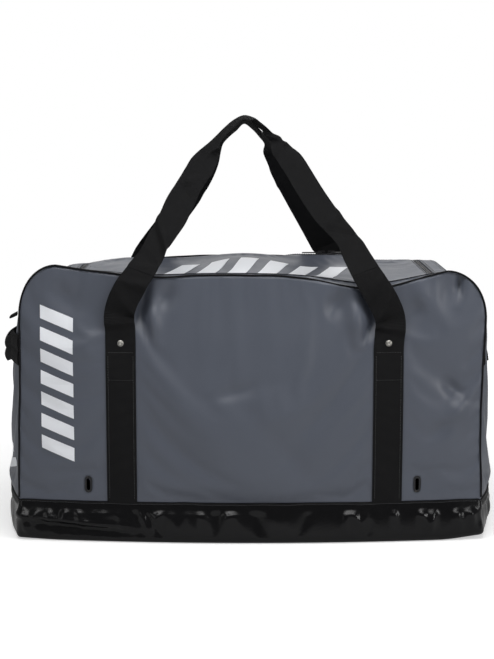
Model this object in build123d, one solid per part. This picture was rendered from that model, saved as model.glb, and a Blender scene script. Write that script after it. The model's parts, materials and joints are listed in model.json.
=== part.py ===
"""Soft hockey equipment bag: fabric panels on a PVC base, a zipped lid, two carry handles, two end handles.

Frame: millimetres, +X along the bag, -Y is the front, +Z up. The origin is on the floor under the bag's middle.
"""

import math
import os

from build123d import *

# ---------------------------------------------------------------- driving dimensions
LENGTH = 762.0  # front panel, between its two end edges
DEPTH = 406.0  # between the front and back corner edges
HEIGHT = 442.0  # floor to the flat of the top
SIDE_BULGE = 30.0  # how far the packed front and back stand out at mid length
END_BULGE = 38.0  # how far the packed ends stand out at mid depth
CORNER_R = 65.0  # round where an end turns into the top
WALL = 2.5  # coated fabric, foam and lining together

BASE_RISE = 64.0  # height of the PVC base's upstand
HEM_WIDTH = 12.0  # folded band along the top of the upstand
HEM_THICK = 1.0
BOARD_THICK = 4.0  # stiffener on the floor of the bag
BOARD_MARGIN = 4.0  # between the board's edge and the walls
TOP_SEAM_X = 335.0  # where the end panels are joined to the top

PIPING_R = 2.4
PIPING_STAND = 2.2  # piping centre outside the edge, along each axis

WEB_WIDTH = 50.0  # 2 inch webbing
WEB_THICK = 2.0
WEB_GAP = 0.5  # air left between the webbing and what it lies on
STRAP_XS = (-212.0, 224.0)  # the left and right straps on the front
RIVET_Z = 331.0
RIVET_CAP_R = 5.5
RIVET_DOME_R = 8.1
SHANK_R = 2.3
FLARE_R = 3.4
RIVET_HOLE_R = 2.6
WASHER_R = 6.0
WASHER_THICK = 1.0
SEWN_TOP = 340.0  # the webbing is sewn down up to here, and free above

LID_HALF = 300.0  # zipper line, each side of the middle
LID_FRONT_Y = -178.0  # the seam that the lid turns about
LID_BACK_Y = 146.0  # zipper line along the back of the lid
LID_R = 60.0
ZIP_FABRIC_GAP = 6.0  # zipper line to the fabric's edge
TAPE_WIDTH = 15.0
TAPE_THICK = 1.0
TEETH_WIDTH = 2.6
TEETH_HIGH = 2.2
TEETH_GAP = 0.8  # zipper line to each row of teeth
WELT_R = 1.2

SLIDER_X = 140.0  # where the two sliders meet
SLIDER_LENGTH = 16.0
SLIDER_WIDTH = 11.4
POST_THICK = 1.2
CROWN_LENGTH = 12.0
CROWN_HIGH = 4.7
CROWN_WIRE = 1.5
PULL_LENGTH = 36.0
PULL_WIDTH = 9.0
PULL_THICK = 1.6
PULL_SLOT = 8.5  # from the pin to the far end of the slot round the crown

BEND_Y = 236.0  # where the free webbing bends over the top edge
BEND_Z = 449.0
APEX_Y = 14.0
APEX_Z = 694.0
GRIP_SPREAD = 44.0  # half the distance between the grip's two ends
GRIP_DROP = 56.0  # from the top of the grip down to its ends, along the loop
GRIP_WIDE = 22.0
GRIP_THICK = 6.0
FRONT_BEND_X = (-178.0, 184.0)  # the left and right legs of each handle, where they bend
REAR_BEND_X = (-190.0, 150.0)
FRONT_GRIP_X = -12.0
REAR_GRIP_X = -8.0

VENT_XS = (-268.0, 274.0)  # the left and right eyelets on the front
VENT_Z = 95.0
VENT_SLOT = (6.0, 20.0)  # the slot's width and height
VENT_FLANGE = (12.0, 28.0)
VENT_BARREL = (8.0, 22.0)
VENT_HOLE = (8.6, 22.6)
FLANGE_THICK = 1.2

GRAB_Z = 305.0  # middle of the end handles
GRAB_BOW = 10.0  # room for fingers behind an end handle
GRAB_FREE_Y = 110.0  # half the free length of an end handle
GRAB_SEWN_Y = 196.0  # the webbing ends just short of the corner seams

TAB_WIDTH = 25.0
TAB_LENGTH = 13.0
TAB_THICK = 2.0
TAB_Y = -70.0
TAB_Z = 361.0
TAB_LEAN = 25.0


# ---------------------------------------------------------------- the packed outline
def arc_radius(half_chord, rise):
    return (half_chord**2 + rise**2) / (2 * rise)


FRONT_R = arc_radius(LENGTH / 2, SIDE_BULGE)
END_R = arc_radius(DEPTH / 2, END_BULGE)


def front_y(x, out=0.0):
    """Y of the front surface at x, out millimetres proud of it."""
    return -(DEPTH / 2 + SIDE_BULGE + out) + FRONT_R - math.sqrt(FRONT_R**2 - x**2)


def end_x(y, out=0.0):
    """X of the right-hand end surface at y, out millimetres proud of it."""
    return LENGTH / 2 + END_BULGE + out - END_R + math.sqrt(END_R**2 - y**2)


def plan(out=0.0):
    """The bag's outline from above, with bowed sides and ends, out millimetres larger."""
    hx = LENGTH / 2 + out
    hy = DEPTH / 2 + out
    front = ThreePointArc((-hx, -hy), (0, -hy - SIDE_BULGE), (hx, -hy))
    right = ThreePointArc((hx, -hy), (hx + END_BULGE, 0), (hx, hy))
    back = ThreePointArc((hx, hy), (0, hy + SIDE_BULGE), (-hx, hy))
    left = ThreePointArc((-hx, hy), (-hx - END_BULGE, 0), (-hx, -hy))
    return make_face(Wire([front, right, back, left]))


def prism(face, low, high):
    return Pos(0, 0, low) * extrude(face, high - low)


def packed_body(out, low, high, round_r):
    """The closed form of the bag, with both ends rounded into the top."""
    body = prism(plan(out), low, high)
    ends = [e for e in body.edges() if abs((e @ 0.5).Z - high) < 0.01 and abs((e @ 0.5).X) > LENGTH / 3]
    return fillet(ends, round_r)


def slab(x=(-600, 600), y=(-400, 400), z=(-10, 900)):
    """A box between pairs of limits, used to cut."""
    size = [hi - lo for lo, hi in (x, y, z)]
    middle = [(hi + lo) / 2 for lo, hi in (x, y, z)]
    return Pos(*middle) * Box(*size)


def side_strip():
    """The front wall's share of the shell, mitred into the ends at its corners."""
    hx = LENGTH / 2
    hy = DEPTH / 2
    outer = ThreePointArc((-hx, -hy), (0, -hy - SIDE_BULGE), (hx, -hy))
    inner = ThreePointArc((hx - WALL, -hy + WALL), (0, -hy - SIDE_BULGE + WALL), (-hx + WALL, -hy + WALL))
    joins = [Line(outer @ 1, inner @ 0), Line(inner @ 1, outer @ 0)]
    return prism(make_face(Wire([outer, joins[0], inner, joins[1]])), 0, HEIGHT)


def turned(part):
    """The same piece on the other side of the bag."""
    return Rot(0, 0, 180) * part


def on_front(x, z, out=0.0):
    """A plane on the front surface at (x, z): its Z points out of the bag and its Y is up."""
    angle = math.asin(x / FRONT_R)
    normal = Vector(math.sin(angle), -math.cos(angle), 0)
    along = Vector(math.cos(angle), math.sin(angle), 0)
    return Plane(origin=Vector(x, front_y(x), z) + normal * out, x_dir=along, z_dir=normal)


# ---------------------------------------------------------------- shell panels
def rivet_holes():
    return [on_front(x, RIVET_Z).location * Cylinder(RIVET_HOLE_R, 20) for x in STRAP_XS]


def stadium(size, depth):
    """An upright slot-shaped block, size wide and high, centred on its own origin."""
    return extrude(SlotOverall(size[1], size[0], rotation=90), depth / 2, both=True)


def vent_holes():
    return [on_front(x, VENT_Z).location * stadium(VENT_HOLE, 20) for x in VENT_XS]


def make_panels():
    outer = packed_body(0, 0, HEIGHT, CORNER_R)
    inner = packed_body(-WALL, WALL, HEIGHT - WALL, CORNER_R - WALL)
    shell = outer - inner
    upper = shell & slab(z=(BASE_RISE, HEIGHT + 1))
    front = upper & side_strip()
    back = upper & turned(side_strip())
    gusset = upper - side_strip() - turned(side_strip())
    top = gusset & slab(x=(-TOP_SEAM_X, TOP_SEAM_X))
    left = gusset & slab(x=(-600, -TOP_SEAM_X))
    right = gusset & slab(x=(TOP_SEAM_X, 600))
    opening = prism(lid_outline(ZIP_FABRIC_GAP, WELT_R + 0.5), HEIGHT - 10, HEIGHT + 10)
    panels = {
        "front_panel": front - rivet_holes() - vent_holes(),
        "back_panel": back - [turned(h) for h in rivet_holes() + vent_holes()],
        "left_end_panel": left,
        "right_end_panel": right,
        "top_frame": top - opening,
        "base_tub": shell & slab(z=(-1, BASE_RISE)),
    }
    board = prism(plan(-WALL - BOARD_MARGIN), WALL + 0.3, WALL + 0.3 + BOARD_THICK)
    panels["base_board"] = board
    return panels


def make_hem():
    band = plan(HEM_THICK + 0.2) - plan(0.2)
    return prism(band, BASE_RISE - HEM_WIDTH / 2, BASE_RISE + HEM_WIDTH / 2)


# ---------------------------------------------------------------- piping
def make_piping():
    """The cord sewn round the front panel's edge: up one end, over the top and down the other end."""
    low = BASE_RISE + HEM_WIDTH / 2 + PIPING_R + 0.3
    corner_x = LENGTH / 2 + PIPING_STAND
    corner_y = front_y(LENGTH / 2, PIPING_STAND)
    crown_x = LENGTH / 2 - CORNER_R
    crown_y = front_y(crown_x, PIPING_STAND)
    crown_z = HEIGHT + PIPING_STAND
    lean = CORNER_R * (1 - math.sqrt(0.5))
    round_x = LENGTH / 2 - lean + PIPING_STAND
    round_y = front_y(LENGTH / 2 - lean, PIPING_STAND + 0.4)

    def at(side, x, y, z):
        return Vector(side * x, y, z)

    feet = [at(side, corner_x, corner_y, low) for side in (-1, 1)]
    bends = [at(side, corner_x, corner_y, HEIGHT - CORNER_R) for side in (-1, 1)]
    rounds = [at(side, round_x, round_y, crown_z - lean) for side in (-1, 1)]
    crowns = [at(side, crown_x, crown_y, crown_z) for side in (-1, 1)]
    top = Vector(0, front_y(0, PIPING_STAND), crown_z)
    path = Wire([
        Line(feet[0], bends[0]),
        ThreePointArc(bends[0], rounds[0], crowns[0]),
        ThreePointArc(crowns[0], top, crowns[1]),
        ThreePointArc(crowns[1], rounds[1], bends[1]),
        Line(bends[1], feet[1]),
    ])
    profile = Plane(path @ 0, z_dir=path % 0) * Circle(PIPING_R)
    return sweep(profile, path=path, transition=Transition.TRANSFORMED)


# ---------------------------------------------------------------- lid and zipper
def lid_outline(out=0.0, front_out=0.0):
    """The lid's outline from above, out millimetres beyond the zipper line on its three zipped sides."""
    half = LID_HALF + out
    front = LID_FRONT_Y - front_out
    back = LID_BACK_Y + out
    r = LID_R + out
    mid = r * (1 - math.sqrt(0.5))
    edges = [
        Line((-half, front), (half, front)),
        Line((half, front), (half, back - r)),
        ThreePointArc((half, back - r), (half - mid, back - mid), (half - r, back)),
        Line((half - r, back), (-half + r, back)),
        ThreePointArc((-half + r, back), (-half + mid, back - mid), (-half, back - r)),
        Line((-half, back - r), (-half, front)),
    ]
    return make_face(Wire(edges))


def zip_band(near, far, low, high):
    """A U-shaped band beside the zipper line, between two distances from it. Negative is the lid's side."""
    inner, outer = sorted((near, far))
    clear_of_seam = -(WELT_R + 0.5)
    return prism(lid_outline(outer, clear_of_seam) - lid_outline(inner, 0), low, high)


def make_zipper():
    tape_top = HEIGHT - WALL - 0.2
    parts = {}
    for name, sign in (("body", 1), ("lid", -1)):
        tape = zip_band(sign * TEETH_GAP, sign * TAPE_WIDTH, tape_top - TAPE_THICK, tape_top)
        teeth = zip_band(sign * TEETH_GAP, sign * (TEETH_GAP + TEETH_WIDTH), tape_top, tape_top + TEETH_HIGH)
        parts[f"zip_tape_{name}"] = tape
        parts[f"zip_teeth_{name}"] = teeth
    return parts


def make_lid():
    return prism(lid_outline(-ZIP_FABRIC_GAP, -(WELT_R + 0.5)), HEIGHT - WALL, HEIGHT)


def make_lid_welt():
    """The corded seam at the lid's front edge, on the line that the lid turns about."""
    rod = Rot(0, 90, 0) * Cylinder(WELT_R, 2 * LID_HALF)
    return Pos(0, LID_FRONT_Y, HEIGHT) * rod


PLATE_LOW = HEIGHT - WALL - 0.2 + TEETH_HIGH + 0.3
PLATE_THICK = 1.5
CROWN_LOW = PLATE_LOW + PLATE_THICK
PULL_PIN_Z = CROWN_LOW + 1.5


def make_slider(x):
    """One slider: top plate over both rows of teeth, post between them, lower plate under the lid's row."""
    at = Pos(x, LID_BACK_Y, 0)
    top = at * Pos(0, 0, PLATE_LOW + PLATE_THICK / 2) * Box(SLIDER_LENGTH, SLIDER_WIDTH, PLATE_THICK)
    top = fillet(top.edges().filter_by(Axis.Z), 3)
    under = HEIGHT - WALL - 0.2 - TAPE_THICK - 0.3
    foot_y = (SLIDER_WIDTH - POST_THICK) / 2
    foot_mid = (POST_THICK - foot_y) / 2 - 0.3
    foot = at * Pos(0, foot_mid, under - PLATE_THICK / 2) * Box(SLIDER_LENGTH, foot_y, PLATE_THICK)
    post_high = PLATE_LOW - under + 2
    post = at * Pos(0, 0, under - 1 + post_high / 2) * Box(SLIDER_LENGTH / 2, POST_THICK, post_high)
    room = Box(CROWN_LENGTH - 2 * CROWN_WIRE, 3, CROWN_HIGH - CROWN_WIRE)
    arch = Box(CROWN_LENGTH, 2.2, CROWN_HIGH) - Pos(0, 0, -CROWN_WIRE / 2) * room
    crown = at * Pos(0, 0, CROWN_LOW + CROWN_HIGH / 2) * arch
    return top + foot + post + crown


def make_pull(x, side):
    """A pull tab that lies flat from its pin, with a slot for the slider's crown."""
    rim = (PULL_WIDTH - 3.6) / 2
    tab = Pos(PULL_LENGTH / 2, 0, 0) * Box(PULL_LENGTH, PULL_WIDTH, PULL_THICK)
    tab = fillet(tab.edges().filter_by(Axis.Z), rim - 0.2)
    slot_length = PULL_SLOT - PULL_THICK / 2
    slot = Pos(PULL_THICK + slot_length / 2 - 0.4, 0, 0) * Box(slot_length, PULL_WIDTH - 2 * rim, 4)
    hole = Pos(PULL_LENGTH - 6, 0, 0) * Cylinder(2, 4)
    pin = Rot(90, 0, 0) * Cylinder(PULL_THICK / 2, 6.4)
    turn = Rot(0, 0, 0 if side > 0 else 180)
    return Pos(x, LID_BACK_Y, PULL_PIN_Z) * (turn * (tab - slot - hole + pin))


# ---------------------------------------------------------------- webbing
def sewn_strap(x, low, high):
    """Webbing that lies on the front surface, x at its middle."""
    band = prism(plan(WEB_GAP + WEB_THICK) - plan(WEB_GAP), low, high)
    return band & slab(x=(x - WEB_WIDTH / 2, x + WEB_WIDTH / 2), y=(-400, 0))


def strap_pair():
    low = BASE_RISE + HEM_WIDTH / 2 + 0.5
    holes = rivet_holes()
    return [sewn_strap(x, low, SEWN_TOP) - holes for x in STRAP_XS]


def webbing_run(start, end, slope):
    """A flat run of webbing between two points. Slope is how its width leans back from X, towards Y."""
    half = Vector(1, slope, 0) * (WEB_WIDTH / 2)
    normal = half.cross(end - start).normalized() * WEB_THICK
    outline = Wire.make_polygon([start - half, start + half, end + half, end - half])
    return Solid.extrude(Face(outline).translate(normal * -0.5), normal)


def handle_riser(bend_xs):
    """Both free lower runs of a handle, from the sewn webbing up to the top edge."""
    runs = []
    for strap_x, bend_x in zip(STRAP_XS, bend_xs):
        foot_y = front_y(strap_x, WEB_GAP + WEB_THICK / 2 + 0.3)
        foot = Vector(strap_x, foot_y, SEWN_TOP + 2)
        head = Vector(bend_x, -BEND_Y, BEND_Z - 3)
        runs.append(webbing_run(foot, head, strap_x / FRONT_R))
    return Compound(runs)


def loop_plane():
    """The plane of a handle's loop: X along the bag, Y from the top edge up to the grip."""
    bend = Vector(0, -BEND_Y, BEND_Z)
    rise = Vector(0, -APEX_Y, APEX_Z) - bend
    return Plane(origin=bend, x_dir=(1, 0, 0), z_dir=Vector(1, 0, 0).cross(rise).normalized()), rise.length


def handle_loop(bend_xs, grip_x):
    """The upper part of a handle: two legs that lean in and a folded grip that joins them."""
    plane, apex_s = loop_plane()
    grip_s = apex_s - GRIP_DROP
    half = WEB_WIDTH / 2
    outer_end = Vector(GRIP_SPREAD + 10, grip_s - 8)
    inner_end = Vector(GRIP_SPREAD - 12, grip_s - 8)
    shift = Vector(grip_x, 0)
    outer = arch(outer_end, apex_s, shift)
    inner = arch(inner_end, apex_s - GRIP_WIDE, shift)
    ends = [Line(outer @ 1, inner @ 1), Line(inner @ 0, outer @ 0)]
    loop = extrude(make_face(Wire([outer, ends[0], inner, ends[1]])), GRIP_THICK / 2, both=True)
    for side, foot in zip((-1, 1), bend_xs):
        head = grip_x + side * (GRIP_SPREAD - 1)
        corners = [(foot - half, 1), (foot + half, 1), (head + half / 2, grip_s), (head - half / 2, grip_s)]
        flat = make_face(Polyline(*corners, close=True))
        loop = loop + extrude(flat, WEB_THICK / 2, both=True)
    return plane.location * loop


def arch(end, top, shift):
    """A round arch in the loop's plane, from the left foot over the top to the right foot."""
    left = Vector(-end.X, end.Y)
    return ThreePointArc(left + shift, Vector(0, top) + shift, end + shift)


def make_grab(side):
    """An end handle: one length of webbing across the end, bowed out at mid depth, sewn down at both ends."""
    tip = end_x(0) + WEB_GAP + GRAB_BOW
    root = end_x(GRAB_FREE_Y, WEB_GAP)
    outer_root = root + WEB_THICK
    outer = ThreePointArc((outer_root, -GRAB_FREE_Y), (tip + WEB_THICK, 0), (outer_root, GRAB_FREE_Y))
    inner = ThreePointArc((root, GRAB_FREE_Y), (tip, 0), (root, -GRAB_FREE_Y))
    ends = [Line(outer @ 1, inner @ 0), Line(inner @ 1, outer @ 0)]
    low = GRAB_Z - WEB_WIDTH / 2
    high = GRAB_Z + WEB_WIDTH / 2
    whole = prism(make_face(Wire([outer, ends[0], inner, ends[1]])), low, high)
    hug = prism(plan(WEB_GAP + WEB_THICK) - plan(WEB_GAP), low, high)
    for near, far in ((-GRAB_SEWN_Y, 1 - GRAB_FREE_Y), (GRAB_FREE_Y - 1, GRAB_SEWN_Y)):
        whole = whole + (hug & slab(x=(0, 600), y=(near, far)))
    return whole if side > 0 else turned(whole)


def make_side_tab():
    """A folded loop of narrow webbing sewn on the left end, above the end handle."""
    fold_r = 0.8 * TAB_THICK
    fold = Pos(1 - TAB_LENGTH / 2, 0, 0) * Rot(90, 0, 0) * Cylinder(fold_r, TAB_WIDTH)
    tab = Box(TAB_LENGTH, TAB_WIDTH, TAB_THICK) + fold
    lift = Pos(-end_x(TAB_Y) - TAB_LENGTH / 2 - 1.7, TAB_Y, TAB_Z) * Rot(0, TAB_LEAN, 0)
    return lift * tab


# ---------------------------------------------------------------- metal fittings
def four_times(fitting, xs, z, out):
    """A fitting at both sides of the front, and at both sides of the back."""
    pair = [on_front(x, z, out).location * fitting for x in xs]
    return pair + [turned(one) for one in pair]


def make_rivets():
    """Four rivets: a domed cap outside, a shank through the webbing and panel, and a flared end inside."""
    proud = WEB_GAP + WEB_THICK + 0.3
    grip = proud + WALL
    above = Pos(0, 0, 5) * Cylinder(RIVET_CAP_R, 10)
    dome = Pos(0, 0, -math.sqrt(RIVET_DOME_R**2 - RIVET_CAP_R**2)) * Sphere(RIVET_DOME_R) & above
    shank = Pos(0, 0, -(grip + 3) / 2 + 0.2) * Cylinder(SHANK_R, grip + 3)
    flare = Pos(0, 0, -grip - 2.0) * Cylinder(FLARE_R, 1.0)
    rivet = dome + shank + flare
    return four_times(rivet, STRAP_XS, RIVET_Z, proud)


def make_washers():
    ring = Cylinder(WASHER_R, WASHER_THICK) - Cylinder(RIVET_HOLE_R, 2 * WASHER_THICK)
    return four_times(ring, STRAP_XS, RIVET_Z, -WALL - WASHER_THICK / 2 - 0.2)


def make_vents():
    """Four slotted eyelets, each an outer flange and barrel, and their four backing rings."""
    flange = Pos(0, 0, FLANGE_THICK / 2 + 0.15) * stadium(VENT_FLANGE, FLANGE_THICK)
    barrel = Pos(0, 0, -1.6) * stadium(VENT_BARREL, 5.2)
    bore = stadium(VENT_SLOT, 20)
    eyelet = flange + barrel - bore
    ring = stadium(VENT_FLANGE, 0.8) - stadium(VENT_HOLE, 4)
    return four_times(eyelet, VENT_XS, VENT_Z, 0), four_times(ring, VENT_XS, VENT_Z, -WALL - 0.8)


# ---------------------------------------------------------------- assembly
def solids_of(shape):
    """Every solid in a shape or a list of shapes, as one compound."""
    shapes = shape if isinstance(shape, list) else [shape]
    return Compound([s for part in shapes for s in part.solids()])


def make_all():
    parts = make_panels()
    parts["base_hem"] = make_hem()
    piping = make_piping()
    parts["front_piping"] = piping
    parts["back_piping"] = turned(piping)
    parts.update(make_zipper())
    parts["lid_panel"] = make_lid()
    parts["lid_welt"] = make_lid_welt()
    for name, side in (("left", -1), ("right", 1)):
        x = SLIDER_X + side * (SLIDER_LENGTH / 2 + 1)
        parts[f"slider_{name}"] = make_slider(x)
        parts[f"pull_{name}"] = make_pull(x, side)
        parts[f"{name}_grab_handle"] = make_grab(side)
    straps = strap_pair()
    parts["front_strap_left"], parts["front_strap_right"] = straps
    parts["rear_strap_right"], parts["rear_strap_left"] = [turned(strap) for strap in straps]
    rear_bends = [-x for x in reversed(REAR_BEND_X)]
    parts["front_handle_riser"] = handle_riser(FRONT_BEND_X)
    parts["front_handle_loop"] = handle_loop(FRONT_BEND_X, FRONT_GRIP_X)
    parts["rear_handle_riser"] = turned(handle_riser(rear_bends))
    parts["rear_handle_loop"] = turned(handle_loop(rear_bends, -REAR_GRIP_X))
    parts["side_tab"] = make_side_tab()
    parts["strap_rivets"] = make_rivets()
    parts["rivet_washers"] = make_washers()
    parts["vent_eyelets"], parts["vent_rings"] = make_vents()
    return parts


os.makedirs("parts", exist_ok=True)
for node, shape in make_all().items():
    export_step(solids_of(shape), f"parts/{node}.step")
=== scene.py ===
"""The looks of a soft hockey equipment bag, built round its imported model. Metres, +Z up, -Y is the front."""
import json
import math

import bmesh
import bpy
import numpy as np
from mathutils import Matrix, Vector
from mathutils.bvhtree import BVHTree
from mathutils.geometry import delaunay_2d_cdt


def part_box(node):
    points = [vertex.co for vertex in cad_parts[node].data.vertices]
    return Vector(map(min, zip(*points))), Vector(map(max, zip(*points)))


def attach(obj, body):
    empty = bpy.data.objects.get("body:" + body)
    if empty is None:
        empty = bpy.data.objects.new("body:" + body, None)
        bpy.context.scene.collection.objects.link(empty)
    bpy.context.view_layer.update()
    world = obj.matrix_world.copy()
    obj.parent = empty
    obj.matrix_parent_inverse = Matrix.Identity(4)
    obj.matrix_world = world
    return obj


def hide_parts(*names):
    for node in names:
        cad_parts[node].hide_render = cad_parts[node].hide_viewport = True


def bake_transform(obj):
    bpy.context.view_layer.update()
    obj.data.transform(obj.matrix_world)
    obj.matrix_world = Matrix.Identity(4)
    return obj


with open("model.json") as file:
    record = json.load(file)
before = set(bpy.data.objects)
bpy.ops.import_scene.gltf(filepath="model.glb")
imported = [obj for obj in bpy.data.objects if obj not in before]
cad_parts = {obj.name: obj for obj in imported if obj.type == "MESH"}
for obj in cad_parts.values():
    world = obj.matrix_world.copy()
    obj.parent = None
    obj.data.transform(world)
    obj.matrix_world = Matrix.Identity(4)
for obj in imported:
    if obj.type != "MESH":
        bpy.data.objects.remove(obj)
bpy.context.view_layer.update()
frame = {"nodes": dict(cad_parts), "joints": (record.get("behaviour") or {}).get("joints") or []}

# ---------------------------------------------------------------- sizes read from the frame
PANEL_LOW, PANEL_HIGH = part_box("front_panel")
TUB_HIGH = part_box("base_tub")[1]
LID_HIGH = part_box("lid_panel")[1]
JOINTS = {joint["name"]: joint for joint in frame["joints"]}


def middle(node):
    """The middle of a CAD node's box."""
    low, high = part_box(node)
    return (low + high) / 2


AMBIENT = 0.20  # even light from all round
WALL = 0.0025  # fabric, foam and lining
SKIN = 0.0020  # how thick the shown panels are
HX = PANEL_HIGH.x
HY = WALL - PANEL_HIGH.y
BULGE = -PANEL_LOW.y - HY
END = TUB_HIGH.x - HX
TOP = LID_HIGH.z
HEM = TUB_HIGH.z
HINGE_Y = JOINTS["lid_hinge"]["pos_m"][1]
ZIP_GAP = 0.006  # from the zipper line to the fabric's edge
ZIP_X = LID_HIGH.x + ZIP_GAP
ZIP_Y = LID_HIGH.y + ZIP_GAP
ZIP_R = 0.060
STRAP_XS = (middle("front_strap_left").x, middle("front_strap_right").x)
RIVET_Z = middle("strap_rivets").z
VENT_XS = (-0.268, 0.274)
VENT_Z = middle("vent_eyelets").z

# ---------------------------------------------------------------- sizes of the soft shapes
STEP = 0.0052  # mesh spacing of the fabric
SHOULDER_X = 0.319  # where the top begins to round down into each end
SHOULDER_WIDE = HX - SHOULDER_X
SHOULDER_HIGH = 0.080
SEAM_ANGLE = math.radians(15)  # where the end panels meet the top, round the shoulder
SEAM_X = SHOULDER_X + SHOULDER_WIDE * math.sin(SEAM_ANGLE)
WEB_HALF = 0.0246
WEB_THICK = 0.0018
WEB_LIFT = 0.0013  # middle of the webbing above the fabric under it
BEND_Y = 0.236  # where each handle bends over the top edge
BEND_Z = 0.449
APEX_Y = 0.014
APEX_Z = 0.694
LOOP_RISE = math.hypot(BEND_Y - APEX_Y, APEX_Z - BEND_Z)
RISE_Y = (BEND_Y - APEX_Y) / LOOP_RISE
RISE_Z = (APEX_Z - BEND_Z) / LOOP_RISE


def smooth(t):
    t = np.clip(t, 0, 1)
    return t * t * (3 - 2 * t)


def bell(distance, width):
    return np.exp(-0.5 * (distance / width) ** 2)


# ---------------------------------------------------------------- camera, lights and floor
LENS = 86.6
CAMERA_AWAY = 2.8
CAMERA_RISE = math.radians(8)
FLOOR_R = 1.9


def make_camera():
    data = bpy.data.cameras.new("camera")
    data.lens = LENS
    data.sensor_width = 36.0
    camera = bpy.data.objects.new("camera", data)
    target = Vector((-0.0065, 0, 0.3219))
    away = Vector((0, -math.cos(CAMERA_RISE), math.sin(CAMERA_RISE)))
    camera.location = target + away * CAMERA_AWAY
    camera.rotation_euler = (-away).to_track_quat("-Z", "Y").to_euler()
    bpy.context.scene.collection.objects.link(camera)
    bpy.context.scene.camera = camera


def make_softbox(name, place, aim, size, power):
    data = bpy.data.lights.new(name, "AREA")
    data.shape = "RECTANGLE"
    data.size, data.size_y = size
    data.energy = power
    lamp = bpy.data.objects.new(name, data)
    lamp.location = place
    lamp.rotation_euler = (Vector(aim) - Vector(place)).to_track_quat("-Z", "Y").to_euler()
    bpy.context.scene.collection.objects.link(lamp)


def make_world():
    """White behind the object, and a dimmer even light from all round."""
    world = bpy.data.worlds.new("studio")
    bpy.context.scene.world = world
    world.use_nodes = True
    tree = world.node_tree
    light = tree.nodes["Background"]
    light.inputs["Color"].default_value = (1, 1, 1, 1)
    light.inputs["Strength"].default_value = AMBIENT
    backdrop = tree.nodes.new("ShaderNodeBackground")
    backdrop.inputs["Color"].default_value = (1, 1, 1, 1)
    path = tree.nodes.new("ShaderNodeLightPath")
    mix = tree.nodes.new("ShaderNodeMixShader")
    tree.links.new(path.outputs["Is Camera Ray"], mix.inputs["Fac"])
    tree.links.new(light.outputs["Background"], mix.inputs[1])
    tree.links.new(backdrop.outputs["Background"], mix.inputs[2])
    tree.links.new(mix.outputs["Shader"], tree.nodes["World Output"].inputs["Surface"])


def make_studio():
    bpy.context.scene.view_settings.view_transform = "Standard"
    make_world()
    make_softbox("key", (0, -1.00, 1.50), (0, -0.1, 0.3), (1.8, 0.6), 8.5)
    make_softbox("brow", (0, -0.64, 0.98), (0, -0.23, 0.40), (1.0, 0.12), 1.9)
    make_softbox("left", (-1.7, -1.3, 0.80), (0, 0, 0.15), (0.35, 1.0), 1.5)
    make_softbox("right", (1.7, -1.3, 0.70), (0, 0, 0.15), (0.35, 0.9), 8)
    make_softbox("behind", (0, 2.2, 1.30), (0, 0, 0.4), (2.2, 0.7), 7)
    make_softbox("top", (0, -0.1, 2.3), (0, -0.1, 0.4), (1.6, 1.0), 11)
    bpy.ops.mesh.primitive_circle_add(vertices=96, radius=FLOOR_R, fill_type="NGON", location=(0, 0, -0.0005))
    floor = bpy.context.object
    floor.name = "floor"
    floor.data.materials.append(plain_floor())


# ---------------------------------------------------------------- materials
class Paint:
    """One procedural material, and the few node moves that every finish here is made from."""

    def __init__(self, name, rough, metal=0.0, sheen=0.0, specular=0.5):
        self.material = bpy.data.materials.new(name)
        self.material.use_nodes = True
        self.tree = self.material.node_tree
        self.surface = self.tree.nodes["Principled BSDF"]
        self.put(self.surface, {"Roughness": rough, "Metallic": metal})
        self.put(self.surface, {"Sheen Weight": sheen, "Specular IOR Level": specular})
        coordinates = self.tree.nodes.new("ShaderNodeTexCoord")
        self.space = coordinates.outputs["Object"]
        self.flat = coordinates.outputs["UV"]
        self.height = None

    def put(self, node, values):
        for key, value in values.items():
            if isinstance(value, bpy.types.NodeSocket):
                self.tree.links.new(value, node.inputs[key])
            else:
                node.inputs[key].default_value = value

    def noise(self, scale, detail=4.0, rough=0.55):
        node = self.tree.nodes.new("ShaderNodeTexNoise")
        self.put(node, {"Vector": self.space, "Scale": scale, "Detail": detail, "Roughness": rough})
        return node.outputs["Fac"]

    def bands(self, period, direction):
        """Even ridges with a period in metres."""
        node = self.tree.nodes.new("ShaderNodeTexWave")
        node.bands_direction = direction
        self.put(node, {"Vector": self.flat, "Scale": math.pi / 10 / period})
        return node.outputs["Fac"]

    def ramp(self, value, low, high, out_low, out_high):
        node = self.tree.nodes.new("ShaderNodeMapRange")
        limits = {"From Min": low, "From Max": high, "To Min": out_low, "To Max": out_high}
        self.put(node, {"Value": value, **limits})
        return node.outputs["Result"]

    def maths(self, operation, first, second):
        node = self.tree.nodes.new("ShaderNodeMath")
        node.operation = operation
        self.put(node, {0: first, 1: second})
        return node.outputs[0]

    def mix(self, share, dark, light):
        node = self.tree.nodes.new("ShaderNodeMix")
        node.data_type = "RGBA"
        for socket, value in ((node.inputs[0], share), (node.inputs[6], dark), (node.inputs[7], light)):
            if isinstance(value, tuple):
                socket.default_value = (*value, 1)
            else:
                self.tree.links.new(value, socket)
        return node.outputs[2]

    def colour(self, value):
        self.put(self.surface, {"Base Color": value})

    def bump(self, value, distance, strength=1.0):
        node = self.tree.nodes.new("ShaderNodeBump")
        self.put(node, {"Height": value, "Distance": distance, "Strength": strength})
        if self.height:
            self.put(node, {"Normal": self.height})
        self.height = node.outputs["Normal"]
        self.put(self.surface, {"Normal": self.height})

    def weave(self, period, distance, strength=0.6):
        across = self.bands(period, "X")
        along = self.bands(period, "Y")
        self.bump(self.maths("MULTIPLY", across, along), distance, strength)


def tint(rgb, share):
    return tuple(channel * share for channel in rgb)


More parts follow.
